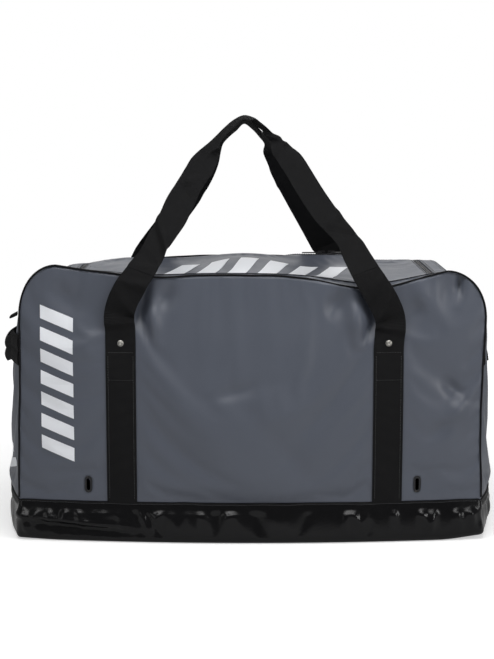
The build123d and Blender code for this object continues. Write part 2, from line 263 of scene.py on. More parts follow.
def plain_floor():
    """A pale floor that glows a little, so that it runs into the white backdrop."""
    paint = Paint("floor_white", rough=0.95, specular=0.05)
    paint.colour(paint.mix(paint.noise(3.0), (0.84, 0.84, 0.84), (0.87, 0.87, 0.87)))
    away = paint.tree.nodes.new("ShaderNodeVectorMath")
    away.operation = "LENGTH"
    paint.put(away, {0: paint.space})
    glow = paint.ramp(away.outputs["Value"], 0.5, FLOOR_R, 0.50, 0.85)
    seen = paint.tree.nodes.new("ShaderNodeLightPath").outputs["Is Camera Ray"]
    strength = paint.maths("MULTIPLY", glow, seen)
    paint.put(paint.surface, {"Emission Color": (1, 1, 1, 1), "Emission Strength": strength})
    return paint.material


def coated_fabric():
    """Grey coated polyester: a satin film over a fine weave, with soft mottling and rubbed high spots."""
    paint = Paint("coated_fabric", rough=0.42, specular=0.45)
    rgb = (0.086, 0.096, 0.122)
    cloudy = paint.mix(paint.noise(7.0, 5.0), tint(rgb, 0.93), tint(rgb, 1.07))
    specks = paint.ramp(paint.noise(900.0, 2.0), 0.35, 0.65, 0.0, 1.0)
    grain = paint.mix(specks, cloudy, tint(rgb, 1.04))
    worn = paint.ramp(paint.noise(26.0, 8.0, 0.7), 0.62, 0.78, 0.0, 0.22)
    paint.colour(paint.mix(worn, grain, tint(rgb, 1.25)))
    paint.put(paint.surface, {"Roughness": paint.ramp(paint.noise(18.0, 6.0), 0.3, 0.7, 0.36, 0.48)})
    paint.weave(0.0011, 0.00006, 0.5)
    paint.bump(paint.noise(60.0, 4.0), 0.0006, 0.25)
    return paint.material


def lining_cloth():
    paint = Paint("lining_cloth", rough=0.75, sheen=0.2)
    rgb = (0.045, 0.048, 0.053)
    paint.colour(paint.mix(paint.noise(12.0), tint(rgb, 0.85), tint(rgb, 1.2)))
    paint.weave(0.0009, 0.0001, 0.8)
    return paint.material


def base_vinyl():
    """Glossy black PVC: leather-like grain, scuffs and slightly uneven gloss."""
    paint = Paint("base_vinyl", rough=0.2, specular=0.27)
    rgb = (0.0026, 0.0026, 0.0032)
    scuffs = paint.ramp(paint.noise(45.0, 9.0, 0.75), 0.6, 0.8, 0.0, 0.5)
    paint.colour(paint.mix(scuffs, rgb, tint(rgb, 2.2)))
    paint.put(paint.surface, {"Roughness": paint.ramp(paint.noise(30.0, 6.0), 0.3, 0.7, 0.13, 0.26)})
    paint.bump(paint.noise(260.0, 6.0), 0.0008, 0.25)
    paint.bump(paint.noise(1400.0, 3.0), 0.0001, 0.35)
    return paint.material


def ribbed_tape(name, rgb, period, depth, rough=0.6):
    """Woven black tape: cross ribs, fine lengthwise threads, and lint that greys the high spots. Painted
    shade: the colour follows the ribs, darker in their troughs and lighter on their crests.
    """
    paint = Paint(name, rough=rough, specular=0.10)
    ribs = paint.bands(period, "Y")
    threads = paint.bands(period * 0.55, "X")
    lint = paint.ramp(paint.noise(55.0, 8.0, 0.7), 0.5, 0.8, 0.0, 0.5)
    # painted shade and highlight: the rib troughs are coloured darker and the crests lighter
    body = paint.mix(ribs, tint(rgb, 0.4), tint(rgb, 1.9))
    paint.colour(paint.mix(lint, body, tint(rgb, 1.7)))
    paint.bump(paint.maths("ADD", ribs, paint.maths("MULTIPLY", threads, 0.4)), depth, 0.8)
    return paint.material


def vinyl_cord():
    paint = Paint("vinyl_piping", rough=0.42, specular=0.12)
    paint.colour(paint.mix(paint.noise(80.0), (0.004, 0.004, 0.005), (0.010, 0.010, 0.011)))
    paint.bump(paint.noise(700.0, 5.0), 0.0001, 0.5)
    return paint.material


def moulded(name, rgb, rough, grain=900.0):
    """Moulded plastic with a fine mould texture and a little handling polish."""
    paint = Paint(name, rough=rough)
    paint.colour(paint.mix(paint.noise(30.0), tint(rgb, 0.85), tint(rgb, 1.2)))
    gloss = paint.ramp(paint.noise(70.0), 0.3, 0.7, rough - 0.06, rough + 0.1)
    paint.put(paint.surface, {"Roughness": gloss})
    paint.bump(paint.noise(grain, 5.0), 0.0001, 0.5)
    return paint.material


def metal(name, rgb, rough, bare=None):
    """Plated or enamelled metal: fine scratches, and bare metal where edges have rubbed."""
    paint = Paint(name, rough=rough, metal=1.0 if bare is None else 0.35)
    scratches = paint.noise(600.0, 8.0, 0.8)
    colour = paint.mix(scratches, tint(rgb, 0.8), tint(rgb, 1.15))
    if bare is not None:
        rub = paint.ramp(paint.noise(240.0, 6.0, 0.7), 0.62, 0.72, 0.0, 0.8)
        colour = paint.mix(rub, colour, bare)
    paint.colour(colour)
    paint.put(paint.surface, {"Roughness": paint.ramp(scratches, 0.3, 0.7, rough, rough + 0.2)})
    paint.bump(scratches, 0.00005, 0.4)
    return paint.material


def ink():
    """Thick off-white ink with a faint crackle."""
    paint = Paint("print_ink", rough=0.45)
    cracks = paint.ramp(paint.noise(420.0, 9.0, 0.8), 0.28, 0.36, 0.4, 0.0)
    paint.colour(paint.mix(cracks, (0.88, 0.90, 0.94), (0.60, 0.63, 0.68)))
    paint.bump(paint.noise(500.0, 5.0), 0.0001, 0.4)
    return paint.material


def thread():
    paint = Paint("sewing_thread", rough=0.6, sheen=0.3)
    paint.colour(paint.mix(paint.noise(1500.0), (0.004, 0.004, 0.005), (0.011, 0.011, 0.012)))
    paint.bump(paint.bands(0.0005, "X"), 0.0001, 0.7)
    return paint.material


FABRIC = coated_fabric()
LINING = lining_cloth()
VINYL = base_vinyl()
HEM_TAPE = ribbed_tape("hem_tape", (0.008, 0.008, 0.009), 0.0009, 0.00015, 0.5)
WEBBING = ribbed_tape("webbing", (0.0085, 0.0085, 0.009), 0.0018, 0.0006, 0.7)
ZIP_TAPE = ribbed_tape("zipper_tape", (0.013, 0.013, 0.015), 0.0008, 0.00015)
PIPING = vinyl_cord()
TEETH = moulded("zipper_teeth", (0.018, 0.018, 0.020), 0.32)
BOARD = moulded("board_plastic", (0.030, 0.030, 0.032), 0.5, 300.0)
ENAMEL = metal("black_enamel", (0.020, 0.020, 0.022), 0.3, bare=(0.35, 0.34, 0.32))
NICKEL = metal("nickel", (0.42, 0.41, 0.38), 0.30)
EYELET = metal("eyelet_enamel", (0.018, 0.018, 0.020), 0.35, bare=(0.20, 0.18, 0.15))
INK = ink()
THREAD = thread()


# ---------------------------------------------------------------- mesh making
def settle(points):
    """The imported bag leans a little, so each end stands further in or out with height."""
    moved = points.copy()
    x, z = points[:, 0], points[:, 2]
    left = 0.003 - 0.006 * smooth((z - HEM) / 0.28)
    right = 0.001 - 0.004 * bell(z - 0.20, 0.07) + 0.002 * smooth((z - 0.30) / 0.10)
    share = smooth((np.abs(x) - 0.26) / 0.12)
    moved[:, 0] += np.where(x < 0, -left, right) * share
    return moved


def add_mesh(name, points, faces, materials, flat=None, crisp=False):
    """A mesh object. flat holds one (u, v) in metres for each point, for weave and ribs."""
    points = settle(np.asarray(points, float).reshape(-1, 3))
    mesh = bpy.data.meshes.new(name)
    mesh.from_pydata([tuple(p) for p in points], [], faces)
    mesh.validate()
    for material in materials:
        mesh.materials.append(material)
    if flat is None:
        flat = points[:, [0, 1]] + points[:, [2, 2]]
    layer = mesh.uv_layers.new(name="UVMap")
    corners = np.zeros(len(mesh.loops), int)
    mesh.loops.foreach_get("vertex_index", corners)
    layer.data.foreach_set("uv", np.asarray(flat, float)[corners].ravel())
    mesh.polygons.foreach_set("use_smooth", [not crisp] * len(mesh.polygons))
    piece = bpy.data.objects.new(name, mesh)
    bpy.context.scene.collection.objects.link(piece)
    return piece


def grid_faces(rows, columns, wrap=False, flip=False):
    """Faces of a grid of points stored row by row. wrap joins the last column to the first."""
    faces = []
    last = columns if wrap else columns - 1
    for r in range(rows - 1):
        for c in range(last):
            d = (c + 1) % columns
            face = (r * columns + c, r * columns + d, (r + 1) * columns + d, (r + 1) * columns + c)
            faces.append(face[::-1] if flip else face)
    return faces


def apply_modifiers(piece):
    """Replaces the piece's mesh by its modified form."""
    graph = bpy.context.evaluated_depsgraph_get()
    mesh = bpy.data.meshes.new_from_object(piece.evaluated_get(graph))
    piece.modifiers.clear()
    piece.data = mesh
    return piece


def thicken(piece, thick, offset=-1.0, inner_material=False):
    """Gives a sheet its thickness, inwards by default, and closes its edges."""
    shell = piece.modifiers.new("thickness", "SOLIDIFY")
    shell.thickness = thick
    shell.offset = offset
    shell.material_offset = 1 if inner_material else 0
    return apply_modifiers(piece)


def place(piece, slot, body=None, nodes=(), blend=None):
    """Files a finished piece: hides the CAD nodes it stands for, and parents it to the body it moves with, or
    bakes its transform where a blend is given. The slot argument is not used.
    """
    if nodes:
        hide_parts(*nodes)
    if blend:
        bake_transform(piece)
    else:
        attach(piece, body)
    return piece


def curve_through(rows, step=0.004, across=3):
    """Catmull-Rom through rows of numbers, resampled evenly along the first few columns."""
    rows = np.asarray(rows, float)
    padded = np.vstack([2 * rows[0] - rows[1], rows, 2 * rows[-1] - rows[-2]])
    t = np.linspace(0, 1, 12, endpoint=False)[:, None]
    fine = []
    for a, b, c, d in zip(padded, padded[1:], padded[2:], padded[3:]):
        square = (2 * a - 5 * b + 4 * c - d) * t**2
        cube = (3 * b - a - 3 * c + d) * t**3
        fine.append(0.5 * (2 * b + (c - a) * t + square + cube))
    fine = np.vstack([*fine, rows[-1:]])
    gaps = np.linalg.norm(np.diff(fine[:, :across], axis=0), axis=1)
    along = np.concatenate([[0], np.cumsum(gaps)])
    even = np.linspace(0, along[-1], max(3, int(round(along[-1] / step)) + 1))
    return np.stack([np.interp(even, along, column) for column in fine.T], axis=1)


def unit(vectors):
    return vectors / np.maximum(np.linalg.norm(vectors, axis=-1, keepdims=True), 1e-12)


def tube(name, path, radius, material, sides=10):
    """A round cord along a path of points."""
    path = np.asarray(path, float)
    tangent = unit(np.gradient(path, axis=0))
    side = np.zeros_like(path)
    guide = np.array([0.0, 1.0, 0.0]) if abs(tangent[0][1]) < 0.9 else np.array([0.0, 0.0, 1.0])
    for i, direction in enumerate(tangent):
        guide = guide - direction * (guide @ direction)
        guide = guide / np.linalg.norm(guide)
        side[i] = guide
    other = np.cross(tangent, side)
    angle = np.linspace(0, 2 * math.pi, sides, endpoint=False)
    ring = side[:, None] * np.cos(angle)[None, :, None] + other[:, None] * np.sin(angle)[None, :, None]
    points = (path[:, None] + ring * radius).reshape(-1, 3)
    count = len(path)
    faces = grid_faces(count, sides, wrap=True)
    faces += [tuple(range(sides))[::-1], tuple((count - 1) * sides + c for c in range(sides))]
    gaps = np.concatenate([[0], np.cumsum(np.linalg.norm(np.diff(path, axis=0), axis=1))])
    flat = np.stack([np.tile(angle * radius, count), np.repeat(gaps, sides)], axis=1)
    return add_mesh(name, points, faces, [material], flat)


def stitches(name, lines, pitch=0.0042, length=0.0030, radius=0.00042):
    """Rows of separate thread stitches. Each line is a pair: points on the cloth and its normals there."""
    angle = np.linspace(0, 2 * math.pi, 6, endpoint=False)
    rings = ((-0.5, 0.25), (-0.3, 1.0), (0.3, 1.0), (0.5, 0.25))
    points, faces = [], []
    for path, normals in lines:
        gaps = np.concatenate([[0], np.cumsum(np.linalg.norm(np.diff(path, axis=0), axis=1))])
        for start in np.arange(pitch / 2, gaps[-1], pitch):
            ends = [np.array([np.interp(start + d, gaps, c) for c in path.T]) for d in (-0.0005, 0, 0.0005)]
            up = unit(np.array([np.interp(start, gaps, c) for c in normals.T]))
            along = unit(ends[2] - ends[0])
            side = unit(np.cross(along, up))
            first = len(points)
            for place_on, share in rings:
                for a in angle:
                    bulge = side * math.cos(a) + up * (math.sin(a) + 0.5)
                    points.append(ends[1] + along * (place_on * length) + bulge * (radius * share))
            faces += [tuple(first + i for i in face) for face in grid_faces(4, 6, wrap=True)]
            faces += [tuple(first + i for i in range(5, -1, -1)), tuple(first + 18 + i for i in range(6))]
    return add_mesh(name, points, faces, [THREAD])


def inside(points, loop):
    """Which 2-D points lie inside a closed loop."""
    x, y = points[:, 0][:, None], points[:, 1][:, None]
    ax, ay = loop[:, 0][None], loop[:, 1][None]
    bx, by = np.roll(loop[:, 0], -1)[None], np.roll(loop[:, 1], -1)[None]
    crosses = (ay > y) != (by > y)
    slope = np.where(by == ay, 1e-12, by - ay)
    return (crosses & (x < (bx - ax) * (y - ay) / slope + ax)).sum(1) % 2 == 1


def fill(outer, holes=(), step=STEP):
    """Triangles that fill an outline, with holes. Returns 2-D points and faces that turn anticlockwise."""
    loops = [np.asarray(loop, float) for loop in (outer, *holes)]
    rim = np.vstack(loops)
    edges = []
    first = 0
    for loop in loops:
        edges += [(first + i, first + (i + 1) % len(loop)) for i in range(len(loop))]
        first += len(loop)
    low, high = loops[0].min(0), loops[0].max(0)
    xs, ys = np.meshgrid(np.arange(low[0], high[0], step), np.arange(low[1], high[1], step))
    field = np.stack([xs.ravel(), ys.ravel()], axis=1)
    keep = inside(field, loops[0])
    for hole in loops[1:]:
        keep &= ~inside(field, hole)
    field = field[keep]
    near = np.array([np.min(np.sum((rim - p) ** 2, axis=1)) for p in field]) if len(field) else np.zeros(0)
    field = field[near > (0.6 * step) ** 2]
    points = [Vector(p) for p in np.vstack([rim, field])]
    made, _, triangles, _, _, _ = delaunay_2d_cdt(points, edges, [], 0, 1e-7)
    made = np.array([tuple(p) for p in made])
    triangles = np.array(triangles)
    centres = made[triangles].mean(1)
    keep = inside(centres, loops[0])
    for hole in loops[1:]:
        keep &= ~inside(centres, hole)
    triangles = triangles[keep]
    a, b, c = (made[triangles[:, i]] for i in range(3))
    turn = (b[:, 0] - a[:, 0]) * (c[:, 1] - a[:, 1]) - (b[:, 1] - a[:, 1]) * (c[:, 0] - a[:, 0])
    triangles[turn < 0] = triangles[turn < 0][:, ::-1]
    used, index = np.unique(triangles, return_inverse=True)
    return made[used], [tuple(t) for t in index.reshape(-1, 3).tolist()]


def resample(loop, step=STEP):
    """Evenly spaced points on a closed outline that keep its corners."""
    points = []
    for a, b in zip(loop, np.roll(loop, -1, axis=0)):
        count = max(1, int(round(np.linalg.norm(b - a) / step)))
        points += [a + (b - a) * i / count for i in range(count)]
    return np.array(points)


def relax_as_cloth(piece, pinned, pressure=1.2, slack=0.008, frames=16, cap=0.010):
    """Lets a packed panel's fabric find its own shape: pinned along its seams, a little slack between."""
    group = piece.vertex_groups.new(name="sewn")
    group.add([int(i) for i in np.flatnonzero(pinned)], 1.0, "REPLACE")
    cloth = piece.modifiers.new("Cloth", "CLOTH")
    cloth.point_cache.frame_end = frames
    settings = cloth.settings
    settings.quality = 6
    settings.mass = 0.35
    settings.tension_stiffness = settings.compression_stiffness = 18
    settings.shear_stiffness = 8
    settings.bending_stiffness = 2.5
    settings.vertex_group_mass = "sewn"
    settings.use_pressure = True
    settings.uniform_pressure_force = pressure
    settings.shrink_min = -slack
    settings.effector_weights.gravity = 0.15
    for number in range(1, frames + 1):
        bpy.context.scene.frame_set(number)
    graph = bpy.context.evaluated_depsgraph_get()
    count = len(piece.data.vertices)
    rest = np.zeros(count * 3)
    moved = np.zeros(count * 3)
    piece.data.vertices.foreach_get("co", rest)
    piece.evaluated_get(graph).data.vertices.foreach_get("co", moved)
    shift = (moved - rest).reshape(-1, 3)
    size = np.linalg.norm(shift, axis=1, keepdims=True)
    shift = shift * (cap * np.tanh(size / cap) / np.maximum(size, 1e-9))
    piece.modifiers.clear()
    piece.vertex_groups.clear()
    piece.data.vertices.foreach_set("co", (rest.reshape(-1, 3) + shift).ravel())
    piece.data.update()
    bpy.context.scene.frame_set(1)


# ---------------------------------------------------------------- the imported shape
def front_edge(x):
    """Height of the front top seam: it dips where each handle pulls it down."""
    x = np.clip(x, -SHOULDER_X, SHOULDER_X)
    plain = TOP - 0.001 + 0.011 * (np.abs(x) / 0.32) ** 4 - 0.011 * x
    return plain - 0.006 * bell(x + 0.165, 0.05) - 0.022 * bell(x - 0.195, 0.06)


def back_edge(x):
    x = np.clip(x, -SHOULDER_X, SHOULDER_X)
    dips = 0.005 * bell(x + 0.19, 0.05) + 0.004 * bell(x - 0.16, 0.05)
    slopes = 0.016 * smooth((-x - 0.20) / 0.12) + 0.016 * (np.maximum(x, 0) / 0.32) ** 2
    return TOP - 0.010 - slopes - dips


def seam_y(x, z):
    """How far the front and back seams, or panels, stand from the middle of the bag."""
    bow = BULGE - 0.011 * smooth((z - RIVET_Z) / 0.10)
    return HY + bow * (1 - (x / HX) ** 2)


def top_height(x, t):
    """Height of the top at x, and at t from -1, the front seam, to 1, the back seam."""
    x = np.clip(x, -SHOULDER_X, SHOULDER_X)
    y = t * seam_y(x, TOP)
    plain = TOP - 0.005 - 0.005 * x - 0.012 * smooth((-x - 0.22) / 0.10)
    front = 1 - smooth((1 + t) * HY / 0.10)
    back = 1 - smooth((1 - t) * HY / 0.11)
    z = plain + (front_edge(x) - plain) * front + (back_edge(x) - plain) * back
    z = z + 0.018 * bell(x + 0.010, 0.055) * bell(y - 0.06, 0.06)
    z = z + 0.003 * bell(x + 0.24, 0.05) * bell(y - 0.06, 0.06)
    level = bell(y - ZIP_Y, 0.022) * smooth((0.085 - np.abs(x - 0.125)) / 0.045)
    return z * (1 - level) + TOP * level


def shoulder_drop(x):
    reach = np.clip((np.abs(x) - SHOULDER_X) / SHOULDER_WIDE, 0, 1)
    return SHOULDER_HIGH * (1 - np.sqrt(1 - reach**2))


def on_top(x, y, lift=0.0):
    """Points on the top surface, or lift above it."""
    x, y = np.asarray(x, float), np.asarray(y, float)
    t = np.clip(y / seam_y(x, TOP), -1, 1)
    return np.stack([x, y, top_height(x, t) - shoulder_drop(x) + lift], axis=-1)


FOLD_STRENGTH = 2.5


def fold_field(x, z, folds):
    """Adds up soft folds. Each is (x, z, half length, half width, tilt in degrees, height)."""
    total = np.zeros_like(x)
    for at_x, at_z, length, width, tilt, height in folds:
        angle = math.radians(tilt)
        dx, dz = x - at_x, z - at_z
        along = dx * math.sin(angle) + dz * math.cos(angle)
        across = dx * math.cos(angle) - dz * math.sin(angle)
        total += height * bell(along, length) * bell(across, width)
    return total


FRONT_FOLDS = [
    (-0.178, 0.388, 0.024, 0.006, 12, -0.0060),
    (-0.170, 0.356, 0.016, 0.005, -14, -0.0040),
    (-0.158, 0.372, 0.022, 0.008, 4, 0.0030),
    (-0.140, 0.405, 0.016, 0.010, 40, -0.0025),
    (0.194, 0.392, 0.030, 0.007, -22, -0.0075),
    (0.193, 0.352, 0.013, 0.006, 8, -0.0055),
    (0.172, 0.372, 0.030, 0.012, -12, 0.0040),
    (0.140, 0.392, 0.020, 0.014, 60, -0.0030),
    (0.262, 0.378, 0.030, 0.012, 52, -0.0028),
    (0.285, 0.402, 0.020, 0.012, -40, 0.0025),
    (0.339, 0.424, 0.013, 0.004, 4, -0.0040),
    (0.322, 0.414, 0.018, 0.010, 20, -0.0020),
    (0.335, 0.252, 0.020, 0.008, -48, -0.0035),
    (0.345, 0.216, 0.026, 0.012, 30, 0.0030),
    (0.318, 0.190, 0.026, 0.010, 62, -0.0020),
    (-0.023, 0.254, 0.040, 0.007, 78, -0.0018),
    (0.070, 0.300, 0.090, 0.020, 24, 0.0020),
    (-0.080, 0.190, 0.090, 0.022, -38, 0.0018),
    (0.060, 0.150, 0.080, 0.016, -42, -0.0018),
    (0.120, 0.230, 0.070, 0.014, 30, -0.0020),
    (-0.300, 0.400, 0.030, 0.016, -50, -0.0030),
    (-0.262, 0.330, 0.050, 0.020, -30, 0.0022),
]
BACK_FOLDS = [(-x, z, length, width, -tilt, height) for x, z, length, width, tilt, height in FRONT_FOLDS]


def fitting_xs(xs, folds):
    """Where fittings are on this side: the back is the front turned half round."""
    return xs if folds is FRONT_FOLDS else tuple(-x for x in xs)


def packed_push(x, z, folds, strength=FOLD_STRENGTH):
    """How far a packed side stands proud of its plain bow. It is nothing at the seams and fittings."""
    full = 0.011 * bell(x - 0.01, 0.15) * bell(z - 0.22, 0.10)
    full = full + 0.003 * (bell(x + 0.30, 0.040) + bell(x - 0.30, 0.040)) * bell(z - 0.25, 0.10)
    room = smooth((HX - np.abs(x)) / 0.045) * smooth((z - HEM) / 0.05)
    push = (full + strength * fold_field(x, z, folds)) * room
    for at_x in fitting_xs(STRAP_XS, folds):
        push = push * (1 - bell(np.hypot(x - at_x, z - RIVET_Z), 0.016))
    for at_x in fitting_xs(VENT_XS, folds):
        push = push * (1 - bell(np.hypot(x - at_x, z - VENT_Z), 0.024))
    return push


def side_out(x, z, side):
    """How far the front (side -1) or back (side 1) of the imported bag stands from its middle."""
    folds = FRONT_FOLDS if side < 0 else BACK_FOLDS
    return seam_y(x, z) + packed_push(np.asarray(x, float), np.asarray(z, float), folds)


def panel_columns():
    """X of each column across a side panel, closer together round the shoulders, and the drop there."""
    angle = np.radians(np.linspace(90, 0, 20, endpoint=False))
    rounds = SHOULDER_X + SHOULDER_WIDE * np.sin(angle)
    flat = np.arange(-SHOULDER_X, SHOULDER_X + STEP / 2, 2 * SHOULDER_X / round(2 * SHOULDER_X / STEP))
    drop = SHOULDER_HIGH * (1 - np.cos(angle))
    return np.concatenate([-rounds, flat, rounds[::-1]]), np.concatenate([drop, flat * 0, drop[::-1]])


def open_slots(points, faces, xs):
    """Opens the slot behind each eyelet: points near its rim move onto it, and the faces inside go."""
    half_wide, half_high = 0.0043, 0.0113
    straight = half_high - half_wide
    keep = np.ones(len(faces), bool)
    corners = np.array(faces)
    for at_x in xs:
        dx = points[:, 0] - at_x
        dz = points[:, 2] - VENT_Z
        rest = dz - np.clip(dz, -straight, straight)
        away = np.hypot(dx, rest)
        near = (np.abs(away - half_wide) < STEP * 0.55) & (away > 1e-6)
        scale = half_wide / np.maximum(away, 1e-6)
        points[near, 0] = (at_x + dx * scale)[near]
        points[near, 2] = (VENT_Z + np.clip(dz, -straight, straight) + rest * scale)[near]
        hollow = away < half_wide + STEP * 0.55
        keep &= ~hollow[corners].all(1)
    return points, [face for face, kept in zip(faces, keep) if kept]


DEEPER = 0.45  # share of the folds' depth that is pressed in again after the cloth has settled


def deepen_folds(piece, folds, side):
    """Presses a side panel's folds a little deeper, away from its straps."""
    points = np.array([v.co for v in piece.data.vertices])
    x, z = points[:, 0], points[:, 2]
    away = np.ones(len(points))
    for at_x in fitting_xs(STRAP_XS, folds):
        away *= smooth((np.abs(x - at_x) - 0.028) / 0.030)
    points[:, 1] += side * DEEPER * away * (packed_push(x, z, folds) - packed_push(x, z, folds, 0.0))
    piece.data.vertices.foreach_set("co", points.ravel())
    piece.data.update()


def make_side_panel(name, side, node):
    """The front (side -1) or back (side 1) panel, from the hem up to the corded seam."""
    xs, drop = panel_columns()
    front = side < 0
    folds = FRONT_FOLDS if front else BACK_FOLDS
    edge = front_edge(xs) if front else back_edge(xs)
    rows = 72
    share = np.linspace(0, 1, rows)[:, None]
    z = HEM + share * (edge - drop - HEM)[None]
    x = np.repeat(xs[None], rows, 0)
    y = side * side_out(x, z, side)
    points = np.stack([x, y, z], axis=-1).reshape(-1, 3)
    vents = fitting_xs(VENT_XS, folds)
    points, faces = open_slots(points, grid_faces(rows, len(xs), flip=not front), vents)
    piece = add_mesh(name, points, faces, [FABRIC, LINING], points[:, [0, 2]])
    border = np.zeros((rows, len(xs)), bool)
    border[[0, 1, -1]] = True
    border[:, [0, -1]] = True
    straps = fitting_xs(STRAP_XS, folds)
    held = border.ravel()
    for at_x in straps:
        held |= (np.abs(points[:, 0] - at_x) < WEB_HALF + 0.004) & (points[:, 2] < RIVET_Z + 0.015)
    for at_x in vents:
        held |= np.hypot(points[:, 0] - at_x, points[:, 2] - VENT_Z) < 0.024
    relax_as_cloth(piece, held)
    deepen_folds(piece, folds, side)
    thicken(piece, SKIN, inner_material=True)
    return place(piece, "coated_fabric", "bag", [node])


RIM_Z = 0.36  # where the straight part of an end gives way to the shoulder
SHOULDER_TURN = 1.31  # radians, from the seam with the top round to the straight part


def end_bulge(z, side):
    """How full an end is at a height, as a share of its CAD bulge. The right end is slacker at the top."""
    if side < 0:
        low = 0.16 * (1 - smooth((z - 0.01) / 0.13))
        return 1.04 - low - 0.32 * smooth((z - 0.32) / 0.05)
    return 1.00 - 0.24 * (1 - smooth(z / 0.10)) - 0.46 * smooth((z - 0.24) / 0.09)


END_FOLDS = [
    (-0.120, 0.330, 0.040, 0.014, 30, -0.0030),
    (0.110, 0.345, 0.050, 0.016, -32, -0.0035),
    (0.000, 0.180, 0.070, 0.024, 12, 0.0030),
    (-0.110, 0.150, 0.050, 0.014, -20, -0.0030),
    (0.130, 0.120, 0.050, 0.014, 24, -0.0030),
    (-0.060, 0.235, 0.060, 0.018, 70, -0.0025),
    (0.060, 0.225, 0.050, 0.014, 82, 0.0022),
]


def make_end_panel(name, side, node):
    """An end panel, from the hem up and over the shoulder to its seam with the top."""
    t = np.linspace(-1, 1, 80)[None]
    shoulder = top_height(side * SHOULDER_X * np.ones_like(t), t)
    share = np.linspace(0, 1, 54)[:, None]
    low_z = HEM + share * (shoulder - SHOULDER_HIGH - HEM)
    push = fold_field(t * HY + 0 * low_z, low_z, END_FOLDS) * smooth((1 - np.abs(t)) / 0.2)
    push = push * smooth(share / 0.1) * smooth((1 - share) / 0.1)
    low_x = HX + END * end_bulge(low_z, side) * (1 - t**2) + push
    low_y = t * HY + 0 * low_z
    angle = np.linspace(math.pi / 2, SEAM_ANGLE, 18)[1:, None]
    rounded = smooth((angle - SEAM_ANGLE) / SHOULDER_TURN) ** 1.6
    fullness = END * (1 - t**2) * end_bulge(0 * angle + RIM_Z, side) * rounded
    seam_x = SHOULDER_X + SHOULDER_WIDE * np.sin(angle) + 0 * t
    high_x = seam_x + fullness * np.sin(angle)
    plain_z = shoulder - SHOULDER_HIGH * (1 - np.cos(angle))
    high_y = t * seam_y(seam_x, plain_z)
    high_z = plain_z + fullness * np.cos(angle)
    x = side * np.vstack([low_x, high_x])
    y = np.vstack([low_y, high_y])
    z = np.vstack([low_z, high_z])
    points = np.stack([x, y, z], axis=-1).reshape(-1, 3)
    faces = grid_faces(len(x), x.shape[1], flip=side < 0)
    flat = np.stack([y.ravel(), z.ravel()], axis=1)
    piece = add_mesh(name, points, faces, [FABRIC, LINING], flat)
    held = np.zeros(x.shape, bool)
    held[[0, 1, -1]] = True
    held[:, [0, -1]] = True
    relax_as_cloth(piece, held.ravel(), slack=0.010)
    thicken(piece, SKIN, inner_material=True)
    return place(piece, "coated_fabric", "bag", [node])


# ---------------------------------------------------------------- top, lid and zipper
def zip_line(out=0.0, front=HINGE_Y, step=0.003):
    """The zipper's U from the left hinge end round the back to the right, out metres beyond it, with its
    normals."""
    r = ZIP_R
    rows = []
    for y in np.arange(front, ZIP_Y - r, step):
        rows.append((-ZIP_X, y, -1, 0))
    for a in np.linspace(math.pi, math.pi / 2, int(r * 1.57 / step))[:-1]:
        rows.append((-ZIP_X + r + r * math.cos(a), ZIP_Y - r + r * math.sin(a), math.cos(a), math.sin(a)))
    for x in np.linspace(-ZIP_X + r, ZIP_X - r, int(2 * (ZIP_X - r) / step)):
        rows.append((x, ZIP_Y, 0, 1))
    left = np.array(rows)
    right = left[left[:, 0] < -ZIP_X + r][::-1] * (-1, 1, -1, 1)
    line = np.vstack([left, right])
    return line[:, :2] + line[:, 2:] * out, line[:, 2:]


def lid_loop(out, front):
    """A closed outline of the lid or its opening."""
    path, _ = zip_line(out, front, STEP)
    width = int((path[-1, 0] - path[0, 0]) / STEP)
    back = np.linspace(path[-1], path[0], width)[1:-1]
    return np.vstack([path, back])


WELT_GAP = 0.0016  # each side of the lid's front seam


def make_top_frame():
    xs = np.linspace(-SEAM_X, SEAM_X, int(2 * SEAM_X / STEP))
    front = np.stack([xs, -seam_y(xs, TOP)], axis=1)
    back = np.stack([xs[::-1], seam_y(xs, TOP)], axis=1)
    outer = resample(np.vstack([front, back]))
    opening = lid_loop(ZIP_GAP, HINGE_Y - WELT_GAP)
    flat, faces = fill(outer, [opening])
    piece = add_mesh("top_frame_skin", on_top(flat[:, 0], flat[:, 1]), faces, [FABRIC, LINING], flat)
    rim = np.vstack([outer, opening])
    held = np.array([np.min(np.sum((rim - p) ** 2, axis=1)) for p in flat]) < 0.003**2
    relax_as_cloth(piece, held, pressure=0.5)
    thicken(piece, SKIN, inner_material=True)
    place(piece, "coated_fabric", "bag", ["top_frame"])


LID_BLEND = ("bag", "lid", (0, HINGE_Y, TOP), (0, HINGE_Y + 0.028, TOP))
LID_FOLDS = [
    (-0.205, -0.050, 0.060, 0.012, 30, -0.0030),
    (-0.150, -0.130, 0.040, 0.010, 60, 0.0022),
    (0.190, -0.120, 0.045, 0.012, -50, -0.0028),
    (0.100, 0.040, 0.070, 0.016, 20, -0.0022),
    (-0.090, 0.060, 0.060, 0.014, -25, -0.0025),
    (0.240, 0.020, 0.060, 0.014, 10, 0.0020),
]


def make_lid():
    outer = lid_loop(-ZIP_GAP, HINGE_Y + WELT_GAP)
    flat, faces = fill(outer)
    points = on_top(flat[:, 0], flat[:, 1])
    edge = np.sqrt(np.array([np.min(np.sum((outer - p) ** 2, axis=1)) for p in flat]))
    points[:, 2] += fold_field(flat[:, 0], flat[:, 1], LID_FOLDS) * smooth(edge / 0.03)
    piece = add_mesh("lid_skin", points, faces, [FABRIC, LINING], flat)
    relax_as_cloth(piece, edge < 0.010, pressure=0.5)
    thicken(piece, SKIN, inner_material=True)
    return place(piece, "coated_fabric", nodes=["lid_panel"], blend=LID_BLEND)


TAPE_LIFT = -0.0027  # top of the zipper tape under the fabric's surface
TAPE_WIDTH = 0.015


